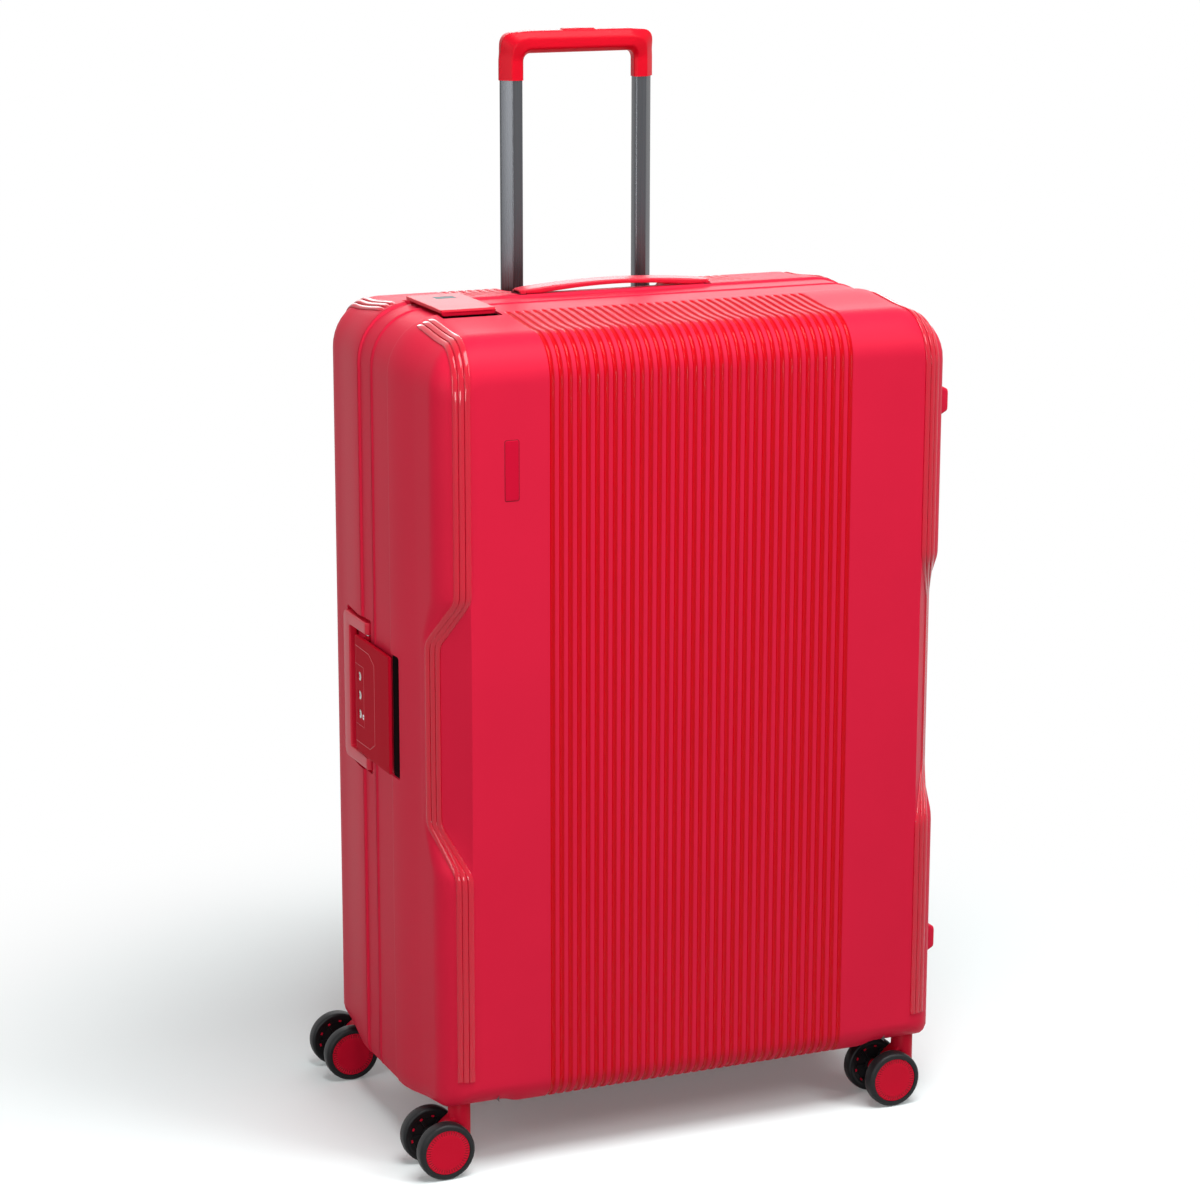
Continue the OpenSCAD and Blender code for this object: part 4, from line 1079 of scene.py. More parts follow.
# ---------------------------------------------------------------- name plate
# A bare plate of the same plastic, with a gloss lacquer, pressed into the lid's face; a
# dark joint shows round it.
plate_half_u, plate_half_v = 6.4, 26.6
plate_u = np.unique(np.append(np.linspace(-plate_half_u, plate_half_u, 15), [-6.2, 6.2, -6.3, 6.3]))
plate_v = np.unique(np.append(np.linspace(-plate_half_v, plate_half_v, 31), [-26.4, 26.4, -26.5, 26.5]))


def on_face(p):
    """Plate places (left to right, height, outwards) put on the lid's face."""
    return np.stack([-181.9 + p[..., 0], -face_at - p[..., 2], 645.75 + p[..., 1]], -1)


def level_at(height):
    """A flat surface for a plate."""
    return lambda u, v: height + 0 * u


def name_plate_face(u, v):
    """Flat, with rounded edges."""
    return 0.35 - from_edge(np.minimum(plate_half_u - abs(u), plate_half_v - abs(v)), 0.25)


name_plate = mesh_piece("name_plate_blank", on_face(plate(
    plate_u, plate_v, name_plate_face, level_at(-1), 1.6)), 40)
plate_red = band_plastic("plate_red", (0.58, 0.003, 0.03), (0.6, 0.0, 0.03), 0.32)
name_plate.data.materials.append(plate_red)
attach(name_plate, "lid")
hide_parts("name_plate")
joint_shadow = soft_black("joint_shadow", (0.06, 0.003, 0.006), 0.7, 0.001)
joint_line = mesh_piece("name_plate_joint", on_face(plate(
    plate_u * 1.07, plate_v * 1.017, level_at(0.06), level_at(-0.8), 1.9)), 40)
joint_line.data.materials.append(joint_shadow)
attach(joint_line, "lid")

# ---------------------------------------------------------------- latches
# Three flap latches of the same plastic, a shade deeper: each flap hinges on a steel pin
# at its rear, its front edge is rolled down over a finger pocket, and a lip under it
# drops in front of a keeper on the lid. The side one carries the lock plate.
flap_front, flap_rear, flap_pin = -49.5, 43, 40
side_flap_length, end_flap_length = 110, 52
dial_pitch, dial_depth = 18, 31


def on_side(p):
    """Latch places (along, depth, outwards) on the left side."""
    return np.stack([-253 - p[..., 2], p[..., 1], mid_z + p[..., 0]], -1)


def on_top(p):
    """The same on the top."""
    return np.stack([-180 + p[..., 0], p[..., 1], 765 + p[..., 2]], -1)


def on_bottom(p):
    """The same on the bottom."""
    return np.stack([-126 - p[..., 0], p[..., 1], 55 - p[..., 2]], -1)


def extruded(profile, start, stop):
    """A closed profile (depth, outwards) carried from start to stop, with flat ends."""
    ends = [np.column_stack([np.full(len(profile), at), profile]) for at in (start, stop)]
    return closed_rings(np.stack(ends))


def hanging_front(length, skirt):
    """A skirt under a flap's front edge, shallower towards its rounded ends."""
    half = length / 2 - 0.1
    a = np.linspace(-1, 1, 33) * half
    drop = np.maximum(skirt - from_edge(half - abs(a), skirt - 0.3), 0.5)
    front = np.array([[-49.5, 4.6], [-49.5, 3.6], [-49.5, 0.6], [-49.1, 0.15], [-48.3, 0.0], [-47.6, 0.3],
                      [-47.3, 0.9], [-47.3, 3.6], [-47.3, 4.6]])
    rings = [np.column_stack([np.full(len(front), x), front[:, 0],
                              np.where(front[:, 1] < 2, front[:, 1] + 4.0 - d, front[:, 1])])
             for x, d in zip(a, drop)]
    return closed_rings(np.stack(rings), True)


def flap_cells(length, u_lines, v_lines, sunk=None, holes=(), skirt=0.0, hollow=None):
    """A flap: the plate with its rolled front edge, the lip under it, the knuckle and the
    web that joins them. The top may be sunk somewhere, and the underside hollowed."""
    half = length / 2
    near_ends = [s * (half - t) for s in (-1, 1) for t in (0.12, 0.35, 0.8, 2.4)]
    u = np.concatenate([np.linspace(-half, half, int(length / 3) + 1), u_lines, near_ends])
    v = np.concatenate([np.linspace(-44, 41, 31), v_lines, [42.2, 42.65, 42.88, flap_rear],
                        [flap_front, -49.3, -48.9, -48.3, -47.6, -46.8, -46, -45.2]])

    def top(a, b):
        """The face: its edges rounded, most at the front, and a slight fall to there."""
        edges = from_edge(half - abs(a), 0.8) + from_edge(flap_rear - b, 0.8) + from_edge(b - flap_front, 2.3)
        camber = 0.35 * (1 - smooth((b + 48) / 30))
        return 6.5 - np.minimum(edges, 2.3) - camber - (sunk(a, b) if sunk else 0)

    def under(a, b):
        """The underside, flat but for the hollow."""
        return 3.5 + (hollow(a, b) if hollow else 0 * b)
    t = np.linspace(0, 2 * math.pi, 25)[:-1]
    knuckle = np.stack([flap_pin + 3 * np.cos(t), -0.5 + 3 * np.sin(t)], -1)
    web = np.array([[38.4, -0.5], [41.6, -0.5], [41.6, 4.0], [38.4, 4.0]])
    lip = np.array([[-25, 2.2], [-21.4, 2.2], [-21, 2.6], [-21, 3.6], [-25, 3.6]])
    cells = [hanging_front(length, skirt)] if skirt else []
    cells.append(plate(np.unique(np.round(u, 3)), np.unique(np.round(v, 3)), top, under, 2.5, holes))
    cells.append(extruded(lip, 8 - half, half - 8))
    cells += [extruded(profile, 8.4 - half, half - 8.4) for profile in (knuckle, web)]
    return np.concatenate(cells)


def bead(points, height, radius=0.22):
    """A fine raised line along points (along, depth) of a latch, at that height."""
    path = [np.linspace(a, b, 12)[:-1] for a, b in zip(points[:-1], points[1:])]
    path = np.concatenate(path + [np.array(points[-1:], float)])
    path = np.column_stack([path, np.full(len(path), height)])
    return swept(path, [0.0, 0.0, 1.0], cord_round(radius, 8))


def over_dials(a, b):
    """The hollow under the side flap, where its dials turn."""
    return np.where((abs(a) < 23.9) & (abs(b - dial_depth) < 6.1), 1.5, 0)


latch_red = band_plastic("latch_red", (0.5, 0.003, 0.018), (0.45, 0.0, 0.01), 0.5, 0.1, 0.02)
dial_windows = [(dial_pitch * i, dial_depth, 4.3, 6) for i in (-1, 0, 1)]
key_window = (-19, 22, 2.55, 2.9)
window_u = np.concatenate([[-24, -21.9, -16.1, -12, -6, 6, 12, 24], np.linspace(-24, 24, 33),
                           np.linspace(-21.9, -16.1, 7)])
window_v = np.concatenate([np.linspace(25, 37, 9), np.linspace(19.1, 24.9, 7)])
side_flap = mesh_piece("side_latch_plate", on_side(flap_cells(
    side_flap_length, window_u, window_v, None, dial_windows + [key_window], hollow=over_dials)), 40)
side_flap.data.materials.append(latch_red)
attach(side_flap, "side_latch")
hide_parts("side_latch_flap")

# The raised outline beads are coloured a pale pink, lighter than the plate: painted highlight along their
# crests.
line_painted_highlight = band_plastic("line_painted_highlight", (0.66, 0.16, 0.18), (0.66, 0.16, 0.18), 0.25)
plate_outline = [(45.5, 42), (45, 4), (37.5, -10), (-37.5, -10), (-45, 4), (-45.5, 42)]
dial_outline = [(28.5, 42), (28.5, 19.3), (-28.5, 19.3), (-28.5, 42)]
lines = mesh_piece("side_latch_lines", on_side(np.concatenate([
    bead(plate_outline, 6.48), bead(dial_outline, 6.48, 0.16)])), 60)
lines.data.materials.append(line_painted_highlight)
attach(lines, "side_latch")


def pocket_liner(half):
    """Painted shade for a finger pocket of this half length: a near-black plate 0.5 mm
    thick on its floor and a ring 0.4 mm thick round its wall, darker than its own shade."""
    wall_rings = []
    for gap, level in ((0.3, -6.1), (0.3, -0.2), (0.7, -0.2), (0.7, -6.1), (0.3, -6.1)):
        outline = softened((half - gap, 9.99 - gap), 2.6, 5) + [0, -52.01]
        wall_rings.append(np.column_stack([outline, np.full(len(outline), level)]))
    wall_rings = np.array(wall_rings)
    floor = plate(np.linspace(-1, 1, 29) * (half - 1), np.linspace(-61.4, -42.6, 21),
                  level_at(-5.6), level_at(-6.1), 2.0)
    return np.concatenate([floor, cells_of(np.concatenate([wall_rings, wall_rings[:, :1]], 1))])


# Each pocket gets a near-black sheet on its floor and walls: painted shade, standing in for a deeper recess.
pocket_shade_paint = soft_black("pocket_shade_paint", (0.006, 0.001, 0.0015), 0.8, 0.001)
for name, place, half in (("side", on_side, 57), ("top", on_top, 28), ("bottom", on_bottom, 28)):
    shade = mesh_piece(name + "_painted_shade", place(pocket_liner(half)))
    shade.data.materials.append(pocket_shade_paint)
    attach(shade, "lid")


def inset_seat(u, v):
    """The seat of the small dark inset, 0.85 mm deep."""
    return np.where((u > -7) & (u < 13) & (v > 13) & (v < 27), 0.85, 0)


end_red = band_plastic("end_latch_red", (0.6, 0.004, 0.024), (0.6, 0.0, 0.02), 0.34)
seat_u, seat_v = [-7.05, -6.95, 12.95, 13.05], [12.95, 13.05, 26.95, 27.05]
for name, place, seat in (("top", on_top, inset_seat), ("bottom", on_bottom, None)):
    flap = mesh_piece(name + "_latch_plate", place(flap_cells(
        end_flap_length, seat_u, seat_v, seat, (), 3.6)), 40)
    flap.data.materials.append(end_red)
    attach(flap, name + "_latch")
    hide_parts(name + "_latch_flap")

# ---------------------------------------------------------------- number lock
# Three white dials, each with the numbers 0 to 9 round it, turn on a steel shaft and show
# through the round windows; a small key barrel sits below them.


def turned(profile, place, steps):
    """A closed profile (along, radius) turned about the axis; place puts (along, radius,
    angle) into the object."""
    t = np.linspace(0, 2 * math.pi, steps + 1)
    ring = np.concatenate([profile, profile[:1]])
    grid = place(ring[:, None, 0] + 0 * t, ring[:, None, 1] + 0 * t, 0 * ring[:, :1] + t[None])
    return cells_of(grid)


def dial_place(step):
    """Puts (along, radius, angle) on the dial that lies this many steps from the middle."""
    def place(a, r, t):
        """Depth and height are r sin t and r cos t from the shaft."""
        return np.stack([dial_pitch * step + a, dial_depth - r * np.sin(t), 0.9 + r * np.cos(t)], -1)
    return place


def wrapped_digit(digit, place):
    """The mesh of one digit, bent round the dial at its tenth of a turn: the places across
    it become angles, and its thickness adds to the radius."""
    glyph = bpy.data.curves.new("digit", "FONT")
    glyph.body = str(digit)
    glyph.size = 4.6
    glyph.extrude = 0.05
    glyph.align_x = "CENTER"
    glyph.align_y = "CENTER"
    holder = bpy.data.objects.new("digit", glyph)
    bpy.context.scene.collection.objects.link(holder)
    flat = bpy.data.meshes.new_from_object(holder.evaluated_get(bpy.context.evaluated_depsgraph_get()))
    points = np.empty(len(flat.vertices) * 3, np.float32)
    flat.vertices.foreach_get("co", points)
    points = points.reshape(-1, 3)
    angle = points[:, 0] / dial_radius + math.radians(36 * digit)
    wrapped = on_side(place(points[:, 1], dial_radius + 0.02 + points[:, 2], angle))
    flat.vertices.foreach_set("co", (wrapped * 0.001).astype(np.float32).ravel())
    bpy.data.objects.remove(holder)
    bpy.data.curves.remove(glyph)
    return flat


dial_white = soft_black("dial_white", (0.62, 0.62, 0.6), 0.35, 0.0007)
digit_black = soft_black("digit_black", (0.02, 0.02, 0.022), 0.5, 0.0007)
dial_radius = 5.55
dial_profile = np.array([[-4, 1.3], [-4, 5.0], [-3.8, 5.4], [-3.4, dial_radius],
                         [3.4, dial_radius], [3.8, 5.4], [4, 5.0], [4, 1.3]])
for step, name in ((1, "dial_upper"), (0, "dial_middle"), (-1, "dial_lower")):
    dial = mesh_piece(name + "_wheel", on_side(turned(dial_profile, dial_place(step), 60)), 40)
    dial.data.materials.append(dial_white)
    dial.data.materials.append(digit_black)
    numbers = bmesh.new()
    numbers.from_mesh(dial.data)
    for digit in range(10):
        flat = wrapped_digit(digit, dial_place(step))
        seen_before = len(numbers.faces)
        numbers.from_mesh(flat)
        numbers.faces.ensure_lookup_table()
        for face in numbers.faces[seen_before:]:
            face.material_index = 1
        bpy.data.meshes.remove(flat)
    numbers.to_mesh(dial.data)
    numbers.free()
    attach(dial, name)
    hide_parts(name)

# ---------------------------------------------------------------- side handle
# A U-shaped bail round the side latch, in the shell's plastic, pinned at the ends of its
# two arms and lying in the base's side recess.


def railed(inner, outer, low, high, cut):
    """A bar between two rails: at each station a rounded rectangle from the inner to the
    outer rail and from low to high; both ends are closed."""
    rings = []
    for a, b, z0, z1 in zip(inner, outer, low, high):
        width = np.linalg.norm(b - a)
        loop = rounded_loop(np.array([[0, z0], [width, z0], [width, z1], [0, z1]]),
                            np.full(4, min(cut, (z1 - z0) / 2.01)), 4)
        flat = a + (b - a) / width * loop[:, :1]
        rings.append(np.column_stack([flat, loop[:, 1]]))
    return closed_rings(np.array(rings), True)


def u_rail(half, reach, bend, start):
    """One rail of the U, half of it: up an arm to the bend, round it, to the middle."""
    turn = np.linspace(0, math.pi / 2, 8)
    arm = np.column_stack([np.full(len(start), half), start])
    arc = np.column_stack([half - bend + bend * np.cos(turn), reach - bend + bend * np.sin(turn)])
    bar = np.column_stack([np.linspace(half - bend, 0, 6)[1:], np.full(5, reach)])
    return np.concatenate([arm, arc, bar])


pin_at, arm_thick = 24, 4  # the pin's depth, and half the arms' thickness
arm_at = np.concatenate([pin_at - 3.9 * np.cos(np.linspace(0.15, math.pi / 2, 8)), np.linspace(28, 60, 6)])
halves = [u_rail(58.5, 67, 2.5, arm_at), u_rail(70, 84, 7, arm_at)]
rails = [np.concatenate([h, (h * [-1, 1])[-2::-1]]) for h in halves]
arm_half = np.sqrt(np.clip(arm_thick ** 2 - (pin_at - arm_at) ** 2, 0.3, arm_thick ** 2))
arm_half[arm_at > pin_at] = arm_thick
arm_half = np.concatenate([arm_half, np.full(len(halves[0]) - len(arm_half), float(arm_thick))])
arm_half = np.concatenate([arm_half, arm_half[-2::-1]])
bail = mesh_piece("side_handle_bail", on_side(railed(*rails, -0.5 - arm_half, -0.5 + arm_half, 1.6)), 50)
handle_red = band_plastic("handle_red", (0.62, 0.008, 0.034), (0.6, 0.0, 0.02), 0.36, 0.12, 0.32)
bail.data.materials.append(handle_red)
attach(bail, "side_handle")
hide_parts("side_handle")

# ---------------------------------------------------------------- carry handle
# A low arch moulded in one with its two feet, which slide in slots in the top. Its ends
# lie flat on the shell; it is thickest in the middle.
arch_half, carry_y, foot_x = 95.5, 49, 93


def upright(profile, low, high):
    """A closed profile (left to right, depth) carried up from low to high."""
    return extruded(profile, low, high)[..., [1, 2, 0]]


def carry_arch():
    """The arch: its underside rises by (1 - (x/74)^2)^1.2 and its top by 1 - (x/95.5)^2,
    and it narrows in depth over its last 9.5 mm."""
    x = arch_half * np.sin(np.linspace(-math.pi / 2, math.pi / 2, 69))
    lower = 767.3 + 4.3 * np.maximum(1 - (x / 74) ** 2, 0) ** 1.2
    upper = 770.4 + 5.4 * (1 - (x / arch_half) ** 2)
    half_deep = 10.5 - 3.5 * np.clip((abs(x) - 86) / 9.5, 0, 1) ** 2
    rings = []
    for at, low, high, deep in zip(x, lower, upper, half_deep):
        cut = np.array([0.25, 0.25, 0.35, 0.35]) * (high - low)
        loop = rounded_loop(np.array([[-deep, low], [deep, low], [deep, high], [-deep, high]]), cut, 5)
        rings.append(np.column_stack([np.full(len(loop), at), carry_y + loop[:, 0], loop[:, 1]]))
    return closed_rings(np.array(rings), True)


carry_cells = [carry_arch()]
# Round each foot a dark block just over the top: painted shade for the opening of its slot.
slot_shade_blocks = []
for s in (-1, 1):
    for half_x, low, high in ((2.5, 744, 769), (5, 744, 748)):
        carry_cells.append(upright(softened((half_x, 10.5), 0.8, 3) + [s * foot_x, carry_y], low, high))
    slot_shade_blocks.append(upright(softened((3.6, 11.6), 1.2, 3) + [s * foot_x, carry_y], 764, 767.25))
carry = mesh_piece("carry_handle_arch", np.concatenate(carry_cells), 45)
carry.data.materials.append(handle_red)
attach(carry, "carry_handle")
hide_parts("carry_handle")
# The slot blocks are painted shade, in the joint's dark colour.
slot_shade_piece = mesh_piece("carry_handle_slot_shade", np.concatenate(slot_shade_blocks), 40)
slot_shade_piece.data.materials.append(joint_shadow)
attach(slot_shade_piece, "base")

# ---------------------------------------------------------------- tow handle
# A moulded grip on two drawn aluminium poles, anodised grey-green, each flat in front and
# slanted on its outer side. A button in the grip presses rods inside the poles.


def drawn_metal(name, colour, rough, streak=0.12):
    """Drawn and anodised metal: noise stretched along Z tones and roughens it in lines."""
    paint, tree, shader = new_paint(name)
    place = add_node(tree, "TexCoord").outputs["Object"]
    stretched = add_node(tree, "Mapping", {"Vector": place, "Scale": (1100, 1100, 7)}).outputs["Vector"]
    noise = add_node(tree, "TexNoise", {"Vector": stretched, "Scale": 1.0, "Detail": 3}).outputs["Fac"]
    darker, lighter = ([c * (1 + way * streak) for c in colour] for way in (-1, 1))
    set_inputs(tree, shader, {
        "Base Color": blended(tree, noise, darker, lighter),
        "Roughness": ranged(tree, noise, rough - 0.06, rough + 0.06),
        "Metallic": 0.85})
    return paint


# A pole's section: five corners, flat in front and slanted on its outer side.
pole_shape = np.array([[-9.8, -6], [0.8, -6], [9.9, 3.4], [9.3, 6], [-9.8, 6]])
pole_cut = np.array([2.4, 0.9, 1.5, 1.5, 2.4])
pole_low, pole_high = 485, 975
poles = mesh_piece("tow_poles", np.concatenate([
    upright(rounded_loop(pole_shape, pole_cut, 4) * [s, 1] + [s * pole_x, pole_y], pole_low, pole_high)
    for s in (-1, 1)]), 40)
poles.data.materials.append(drawn_metal("pole_grey", (0.085, 0.09, 0.098), 0.28))
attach(poles, "tow_handle")
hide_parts("inner_tubes")


def grip_cells():
    """The grip: a sleeve round each pole, carried up, round a bend and along the bar while
    its section passes to the bar's by the cubic step of the turn. The bend's outer half
    is fuller by half the fourth power of sin(2 turn); the button's seat is let into the
    top of the bar."""
    sleeve = np.array([[-10.8, -4.6], [-8.4, -6.9], [1.6, -6.9], [10.8, 2.6], [10.8, 3.0], [10.8, 3.2],
                       [10.8, 3.6], [10.8, 4.6], [10.8, 5.0], [9.6, 6.9], [-8.4, 6.9], [-10.8, 4.6]])
    sleeve_cut = np.array([1.2, 1.2, 0.9, 0.2, 0, 0, 0, 0, 0.2, 1.2, 1.2, 1.2])
    bar = np.array([[-9.2, -5.6], [-4.48, -12], [5.2, -12], [11.5, -7.6], [11.5, -5.45], [11.5, -5.35],
                    [11.5, 5.35], [11.5, 5.45], [11.5, 7.6], [5.2, 12], [-4.48, 12], [-9.2, 5.6]])
    bar_cut = np.array([1.8, 2.2, 1.8, 1.6, 0, 0, 0, 0, 1.6, 1.8, 2.2, 1.8])
    sleeve_x, bar_z, bend = 66.9, 987.0, 17
    rising = np.linspace(953, 969, 6)
    bar_x = np.array([40, 30, 20, 16.45, 16.35, 12, 6, 0])
    turn = np.linspace(0, math.pi / 2, 21)
    before, after = np.zeros(len(rising)), np.zeros(len(bar_x))
    middle = np.concatenate([
        np.column_stack([sleeve_x + before, rising]),
        np.column_stack([sleeve_x - bend + bend * np.cos(turn), bar_z - bend + bend * np.sin(turn)]),
        np.column_stack([bar_x, bar_z + after])])
    aim = np.concatenate([np.column_stack([before + 1, before]),
                          np.column_stack([np.cos(turn), np.sin(turn)]),
                          np.column_stack([after, after + 1])])
    to_bar = np.concatenate([before, smooth(turn / (math.pi / 2)), after + 1])
    fuller = np.concatenate([before, np.sin(2 * turn) ** 4, after])
    rings = []
    for (px, pz), (ax, az), w, more in zip(middle, aim, to_bar, fuller):
        loop = rounded_loop(sleeve * (1 - w) + bar * w, sleeve_cut * (1 - w) + bar_cut * w, 4)
        loop[:, 0] *= np.where(loop[:, 0] > 0, 1 + 0.5 * more, 1)
        rings.append(np.column_stack([px + ax * loop[:, 0], pole_y + loop[:, 1], pz + az * loop[:, 0]]))
    half = np.array(rings)
    seat = (abs(half[..., 0]) < 16.4) & (abs(half[..., 1] - pole_y) < 5.4) & (half[..., 2] > 997)
    half[..., 2] -= np.where(seat, 4.5, 0)
    return closed_rings(np.concatenate([half, (half * [-1, 1, 1])[-2::-1]]), True)


grip = mesh_piece("tow_grip", grip_cells(), 38)
grip_red = band_plastic("grip_red", (0.6, 0.003, 0.016), (0.6, 0.0, 0.02), 0.34)
grip.data.materials.append(grip_red)
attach(grip, "tow_handle")
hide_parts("grip")


def lofted(levels, sizes, cut, n=5):
    """Rounded rectangles of the given half sizes at each level, with both ends closed."""
    rings = []
    for level, size in zip(levels, sizes):
        loop = softened(size, min(cut, 0.95 * min(size)), n)
        rings.append(np.column_stack([loop, np.full(len(loop), level)]))
    return closed_rings(np.array(rings), True)


button = mesh_piece("grip_button_cap", lofted(
    [990, 999.0, 999.45, 999.7], [(16, 5), (16, 5), (15.7, 4.7), (15.2, 4.2)], 2.0) + [0, pole_y, 0], 40)
button.data.materials.append(grip_red)
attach(button, "grip_button")
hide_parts("grip_button")

# ---------------------------------------------------------------- side feet
# Solid tapered feet, let into the right side of both shells, to lay the case on.
foot_y, foot_heights = 110, (150, 671)
foot_levels = [249, 251.5, 252.6, 262.2, 263.3, 263.9, 264]
foot_sizes = [(16, 13), (16, 13), (15.6, 12.8), (10.9, 11.9), (10.2, 11.3), (9.2, 10.3), (8, 9)]
foot = lofted(foot_levels, foot_sizes, 3.4)
for shell, way in (("base", 1), ("lid", -1)):
    feet = [np.stack([foot[..., 2], way * foot_y + foot[..., 1], z + foot[..., 0]], -1)
            for z in foot_heights]
    piece = mesh_piece(shell + "_feet", np.concatenate(feet), 40)
    piece.data.materials.append(case_red)
    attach(piece, shell)
    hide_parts(shell + "_side_feet")

# ---------------------------------------------------------------- casters
# Four twin-wheel casters: a moulded post and trailing leg, and on its axle two discs,
# each a black rubber tyre on a black core, with a red cap outside that is fluted near
# its rim.
caster_x, caster_y, trail, axle_z = 226, 131, 21.4, 26.5
# Closed profiles of one disc, as (along the axle, radius), and its cap's face by radius.
tyre_profile = np.array([[16.4, 21.0], [15.5, 23.2], [15.3, 24.2], [15.7, 25.3], [16.8, 26.1], [18.6, 26.45],
                         [22, 26.5], [25.2, 26.45], [27, 26.1], [28.2, 25.2], [28.85, 23.9], [28.9, 22.4],
                         [28.75, 21.3], [28.2, 21.0]])
core_profile = np.array([[17.6, 3.2], [15.4, 3.6], [15.2, 7.6], [16.0, 8.2], [18.6, 8.4], [19.0, 16.8],
                         [17.4, 17.4], [16.9, 18.2], [16.9, 21.1], [28.0, 21.1], [28.0, 3.2]])
cap_radii = np.array([0.0, 3, 7, 11, 14.5, 15.6, 16.1, 16.8, 18.2, 19.6, 20.2, 20.6, 20.9, 21.0])
cap_faces = np.array([28.05, 28.06, 28.1, 28.18, 28.3, 28.36, 28.38, 28.4, 28.42, 28.42, 28.36,
                      28.2, 27.9, 27.4])
flute_share = np.array([0, 0, 0, 0, 0, 0, 0.35, 1, 1, 1, 0.4, 0, 0, 0])
flute_count, flute_depth, spoke_count, lug_count = 48, 0.5, 6, 10
# The leg's middle line, as (left to right, height), and its size at each of the points.
leg_line = np.array([[1.0, 46.0], [-3.0, 43.5], [-8.0, 39.0], [-13.0, 34.4], [-18.0, 30.0], [-21.4, 26.5],
                     [-24.5, 23.6], [-26.6, 21.6]])
leg_thick = np.array([8.0, 8.2, 8.2, 8, 8, 8, 7.4, 4.2])
leg_width = np.array([8.0, 8.8, 9.4, 9.4, 8.8, 8.0, 6.4, 3.2])
post_radii = np.array([0.01, 8.6, 9.7, 10.25, 10.25, 9.8, 9.0, 0.01])
post_levels = np.array([25.4, 25.6, 26.4, 28.2, 62.6, 63.3, 63.6, 63.6])
boss_profile = np.array([[-14.5, 3.1], [-14.5, 6.4], [-14.0, 7], [14.0, 7], [14.5, 6.4], [14.5, 3.1]])
tyre_rubber = soft_black("tyre_rubber", (0.007, 0.0072, 0.008), 0.42, 0.0009)
core_black = soft_black("core_black", (0.004, 0.004, 0.0045), 0.5, 0.001)
cap_red = band_plastic("cap_red", (0.57, 0.004, 0.026), (0.5, 0.0, 0.02), 0.4)


def wheel_place(sx, sy, way):
    """Wheel places (along the axle, radius, angle) put at one caster's left or right disc."""
    def place(a, r, t):
        """Left to right and height are r cos t and r sin t from the axle."""
        return np.stack([caster_x * sx - trail + r * np.cos(t), caster_y * sy + way * a,
                         axle_z + r * np.sin(t)], -1)
    return place


def ribs_round(place, count, first, reach, half, along, radius=None):
    """Small radial bars round the axle, each from one reach to the other; their width
    turns into an angle at the given radius, or at each point's own."""
    near, beyond = reach
    bar = extruded(np.array([[near, -half], [beyond, -half], [beyond, half], [near, half]]), *along)
    a, r, across_bar = (bar[..., i] for i in range(3))
    return [place(a, r, 2 * math.pi * i / count + first + across_bar / (radius or r)) for i in range(count)]


def cap_cells(place):
    """The cap: a disc of the given faces and radii, fluted by the cube of a sine."""
    t = np.linspace(0, 2 * math.pi, flute_count * 6 + 1)
    ripple = -flute_depth * abs(np.sin(flute_count / 2 * t)) ** 3
    return cells_of(place(cap_faces[:, None] + flute_share[:, None] * ripple,
                          cap_radii[:, None] + 0 * t, 0 * cap_radii[:, None] + t))


def fork_cells():
    """The post, the leg that trails behind it, the boss round the axle and the stem."""
    t = np.linspace(0, 2 * math.pi, 49)
    post = cells_of(np.stack([post_radii[:, None] * np.cos(t), post_radii[:, None] * np.sin(t),
                              post_levels[:, None] + 0 * t], -1))
    line = np.column_stack([leg_line[:, 0], 0 * leg_line[:, 0], leg_line[:, 1]])
    size = np.column_stack([leg_thick / 8, leg_width / 8])
    leg = swept(line, [1.0, 0.0, 1.0], softened((8, 8), 3.0, 4), size)

    def on_axle(a, r, t):
        """Puts (along, radius, angle) round the axle."""
        return np.stack([r * np.cos(t) - trail, a, axle_z + r * np.sin(t)], -1)
    boss = turned(boss_profile, on_axle, 40)
    stem = upright(cord_round(4, 24), 62, 86)
    return np.concatenate([post, leg, boss, stem])


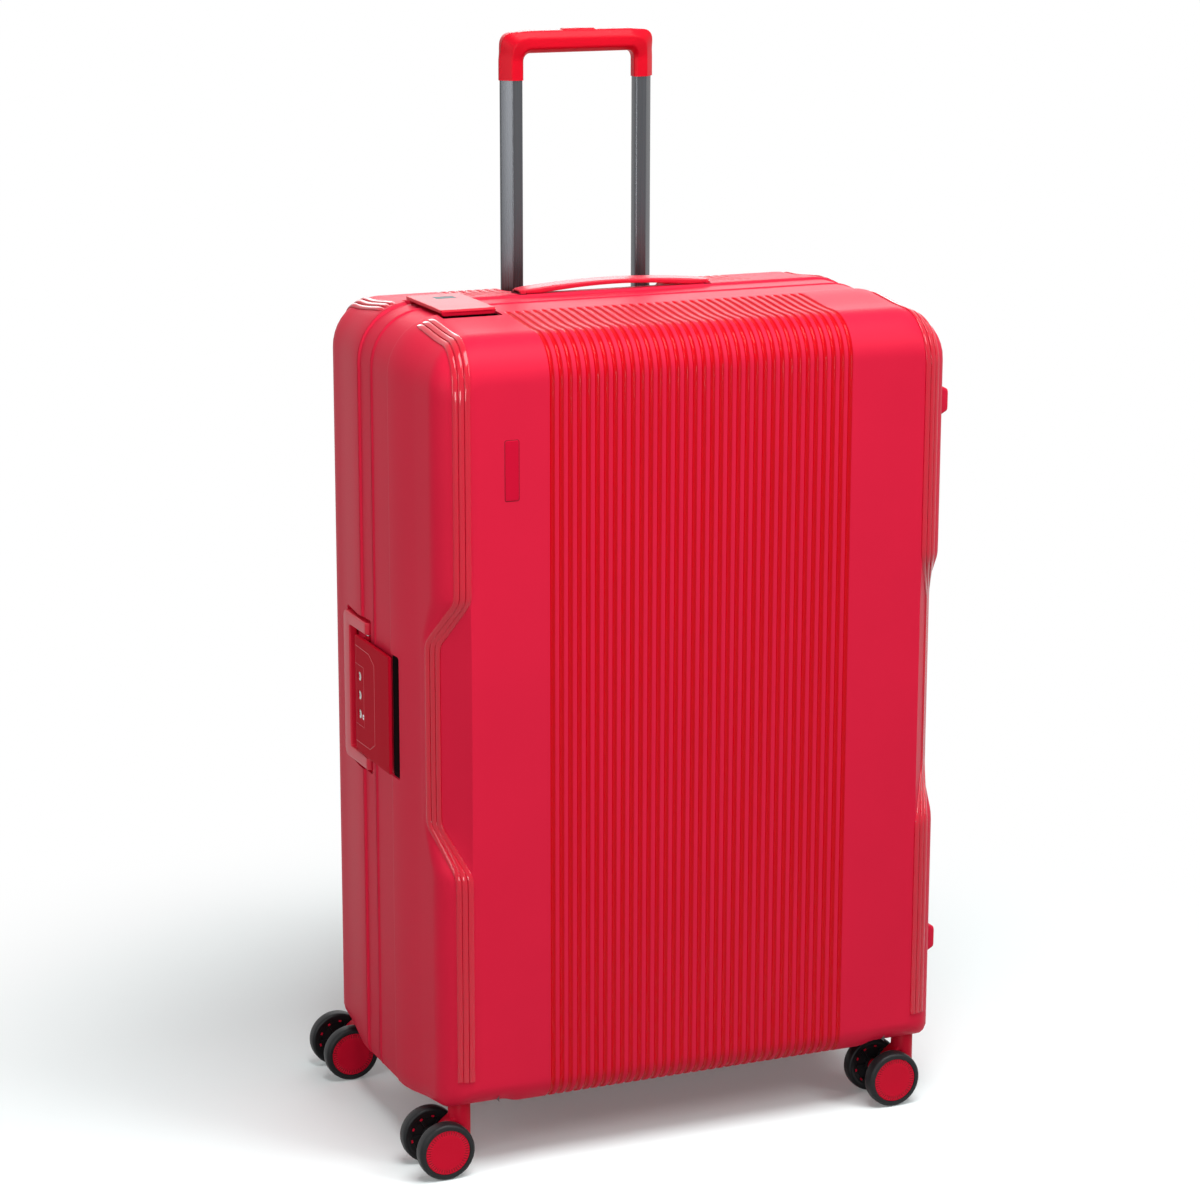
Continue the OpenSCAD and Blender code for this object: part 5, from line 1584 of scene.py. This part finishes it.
fork_shape = fork_cells()
for fore, sy in (("front", -1), ("rear", 1)):
    for hand, sx in (("left", -1), ("right", 1)):
        corner = fore + "_" + hand
        tyres, cores, caps, lugs = [], [], [], []
        for way in (-1, 1):
            place = wheel_place(sx, sy, way)
            tyres.append(turned(tyre_profile, place, 88))
            cores.append(turned(core_profile, place, 60))
            cores += ribs_round(place, spoke_count, 0.0, (7.5, 17.6), 0.8, (16.6, 18.8))
            caps.append(cap_cells(place))
            lugs += ribs_round(place, lug_count, 0.2, (17.6, 19.2), 1.3, (16.4, 17.6), 18.4)
        for name, parts, paint, stands, slot in (
                ("tyre_pair_", tyres, tyre_rubber, "tyres_", "tyre"),
                ("wheel_cores_", cores, core_black, None, "black_plastic"),
                ("wheel_caps_", caps + lugs, cap_red, "hubs_", "caster_plastic")):
            piece = mesh_piece(name + corner, np.concatenate(parts), 40)
            piece.data.materials.append(paint)
            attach(piece, "wheels_" + corner)
            if stands:
                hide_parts(stands + corner)
        fork = mesh_piece("caster_leg_" + corner, fork_shape + [caster_x * sx, caster_y * sy, 0], 38)
        fork.data.materials.append(cap_red)
        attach(fork, "swivel_" + corner)
        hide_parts("caster_fork_" + corner)

# ---------------------------------------------------------------- fittings
# The plain small fittings, which keep their solid shapes: steel pins, shaft, rods and
# axles, the painted hinges and lugs, aluminium guides and black mouldings.
bright_steel = drawn_metal("bright_steel", (0.62, 0.63, 0.65), 0.24, 0.05)
guide_grey = drawn_metal("guide_grey", (0.5, 0.51, 0.52), 0.34)
inset_grey = soft_black("inset_grey", (0.02, 0.045, 0.05), 0.5, 0.002)
corners = ("front_left", "front_right", "rear_left", "rear_right")
for finish, names in (
        (bright_steel, ["hinge_pins", "latch_pins", "side_handle_pins", "lock_shaft", "key_barrel",
                        "push_rods"] + ["axle_" + corner for corner in corners]),
        (latch_red, ["latch_brackets", "latch_keepers", "hinge_leaves", "hinge_knuckles"]),
        (guide_grey, ["guide_tubes"]),
        (inset_grey, ["top_latch_inset"]),
        (case_red, ["trolley_bezel"]),
        (black_plastic, ["tube_anchor", "slide_blocks", "lock_body"]
         + ["caster_mount_" + corner for corner in corners])):
    for name in names:
        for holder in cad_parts[name].material_slots:
            holder.material = finish

low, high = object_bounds()
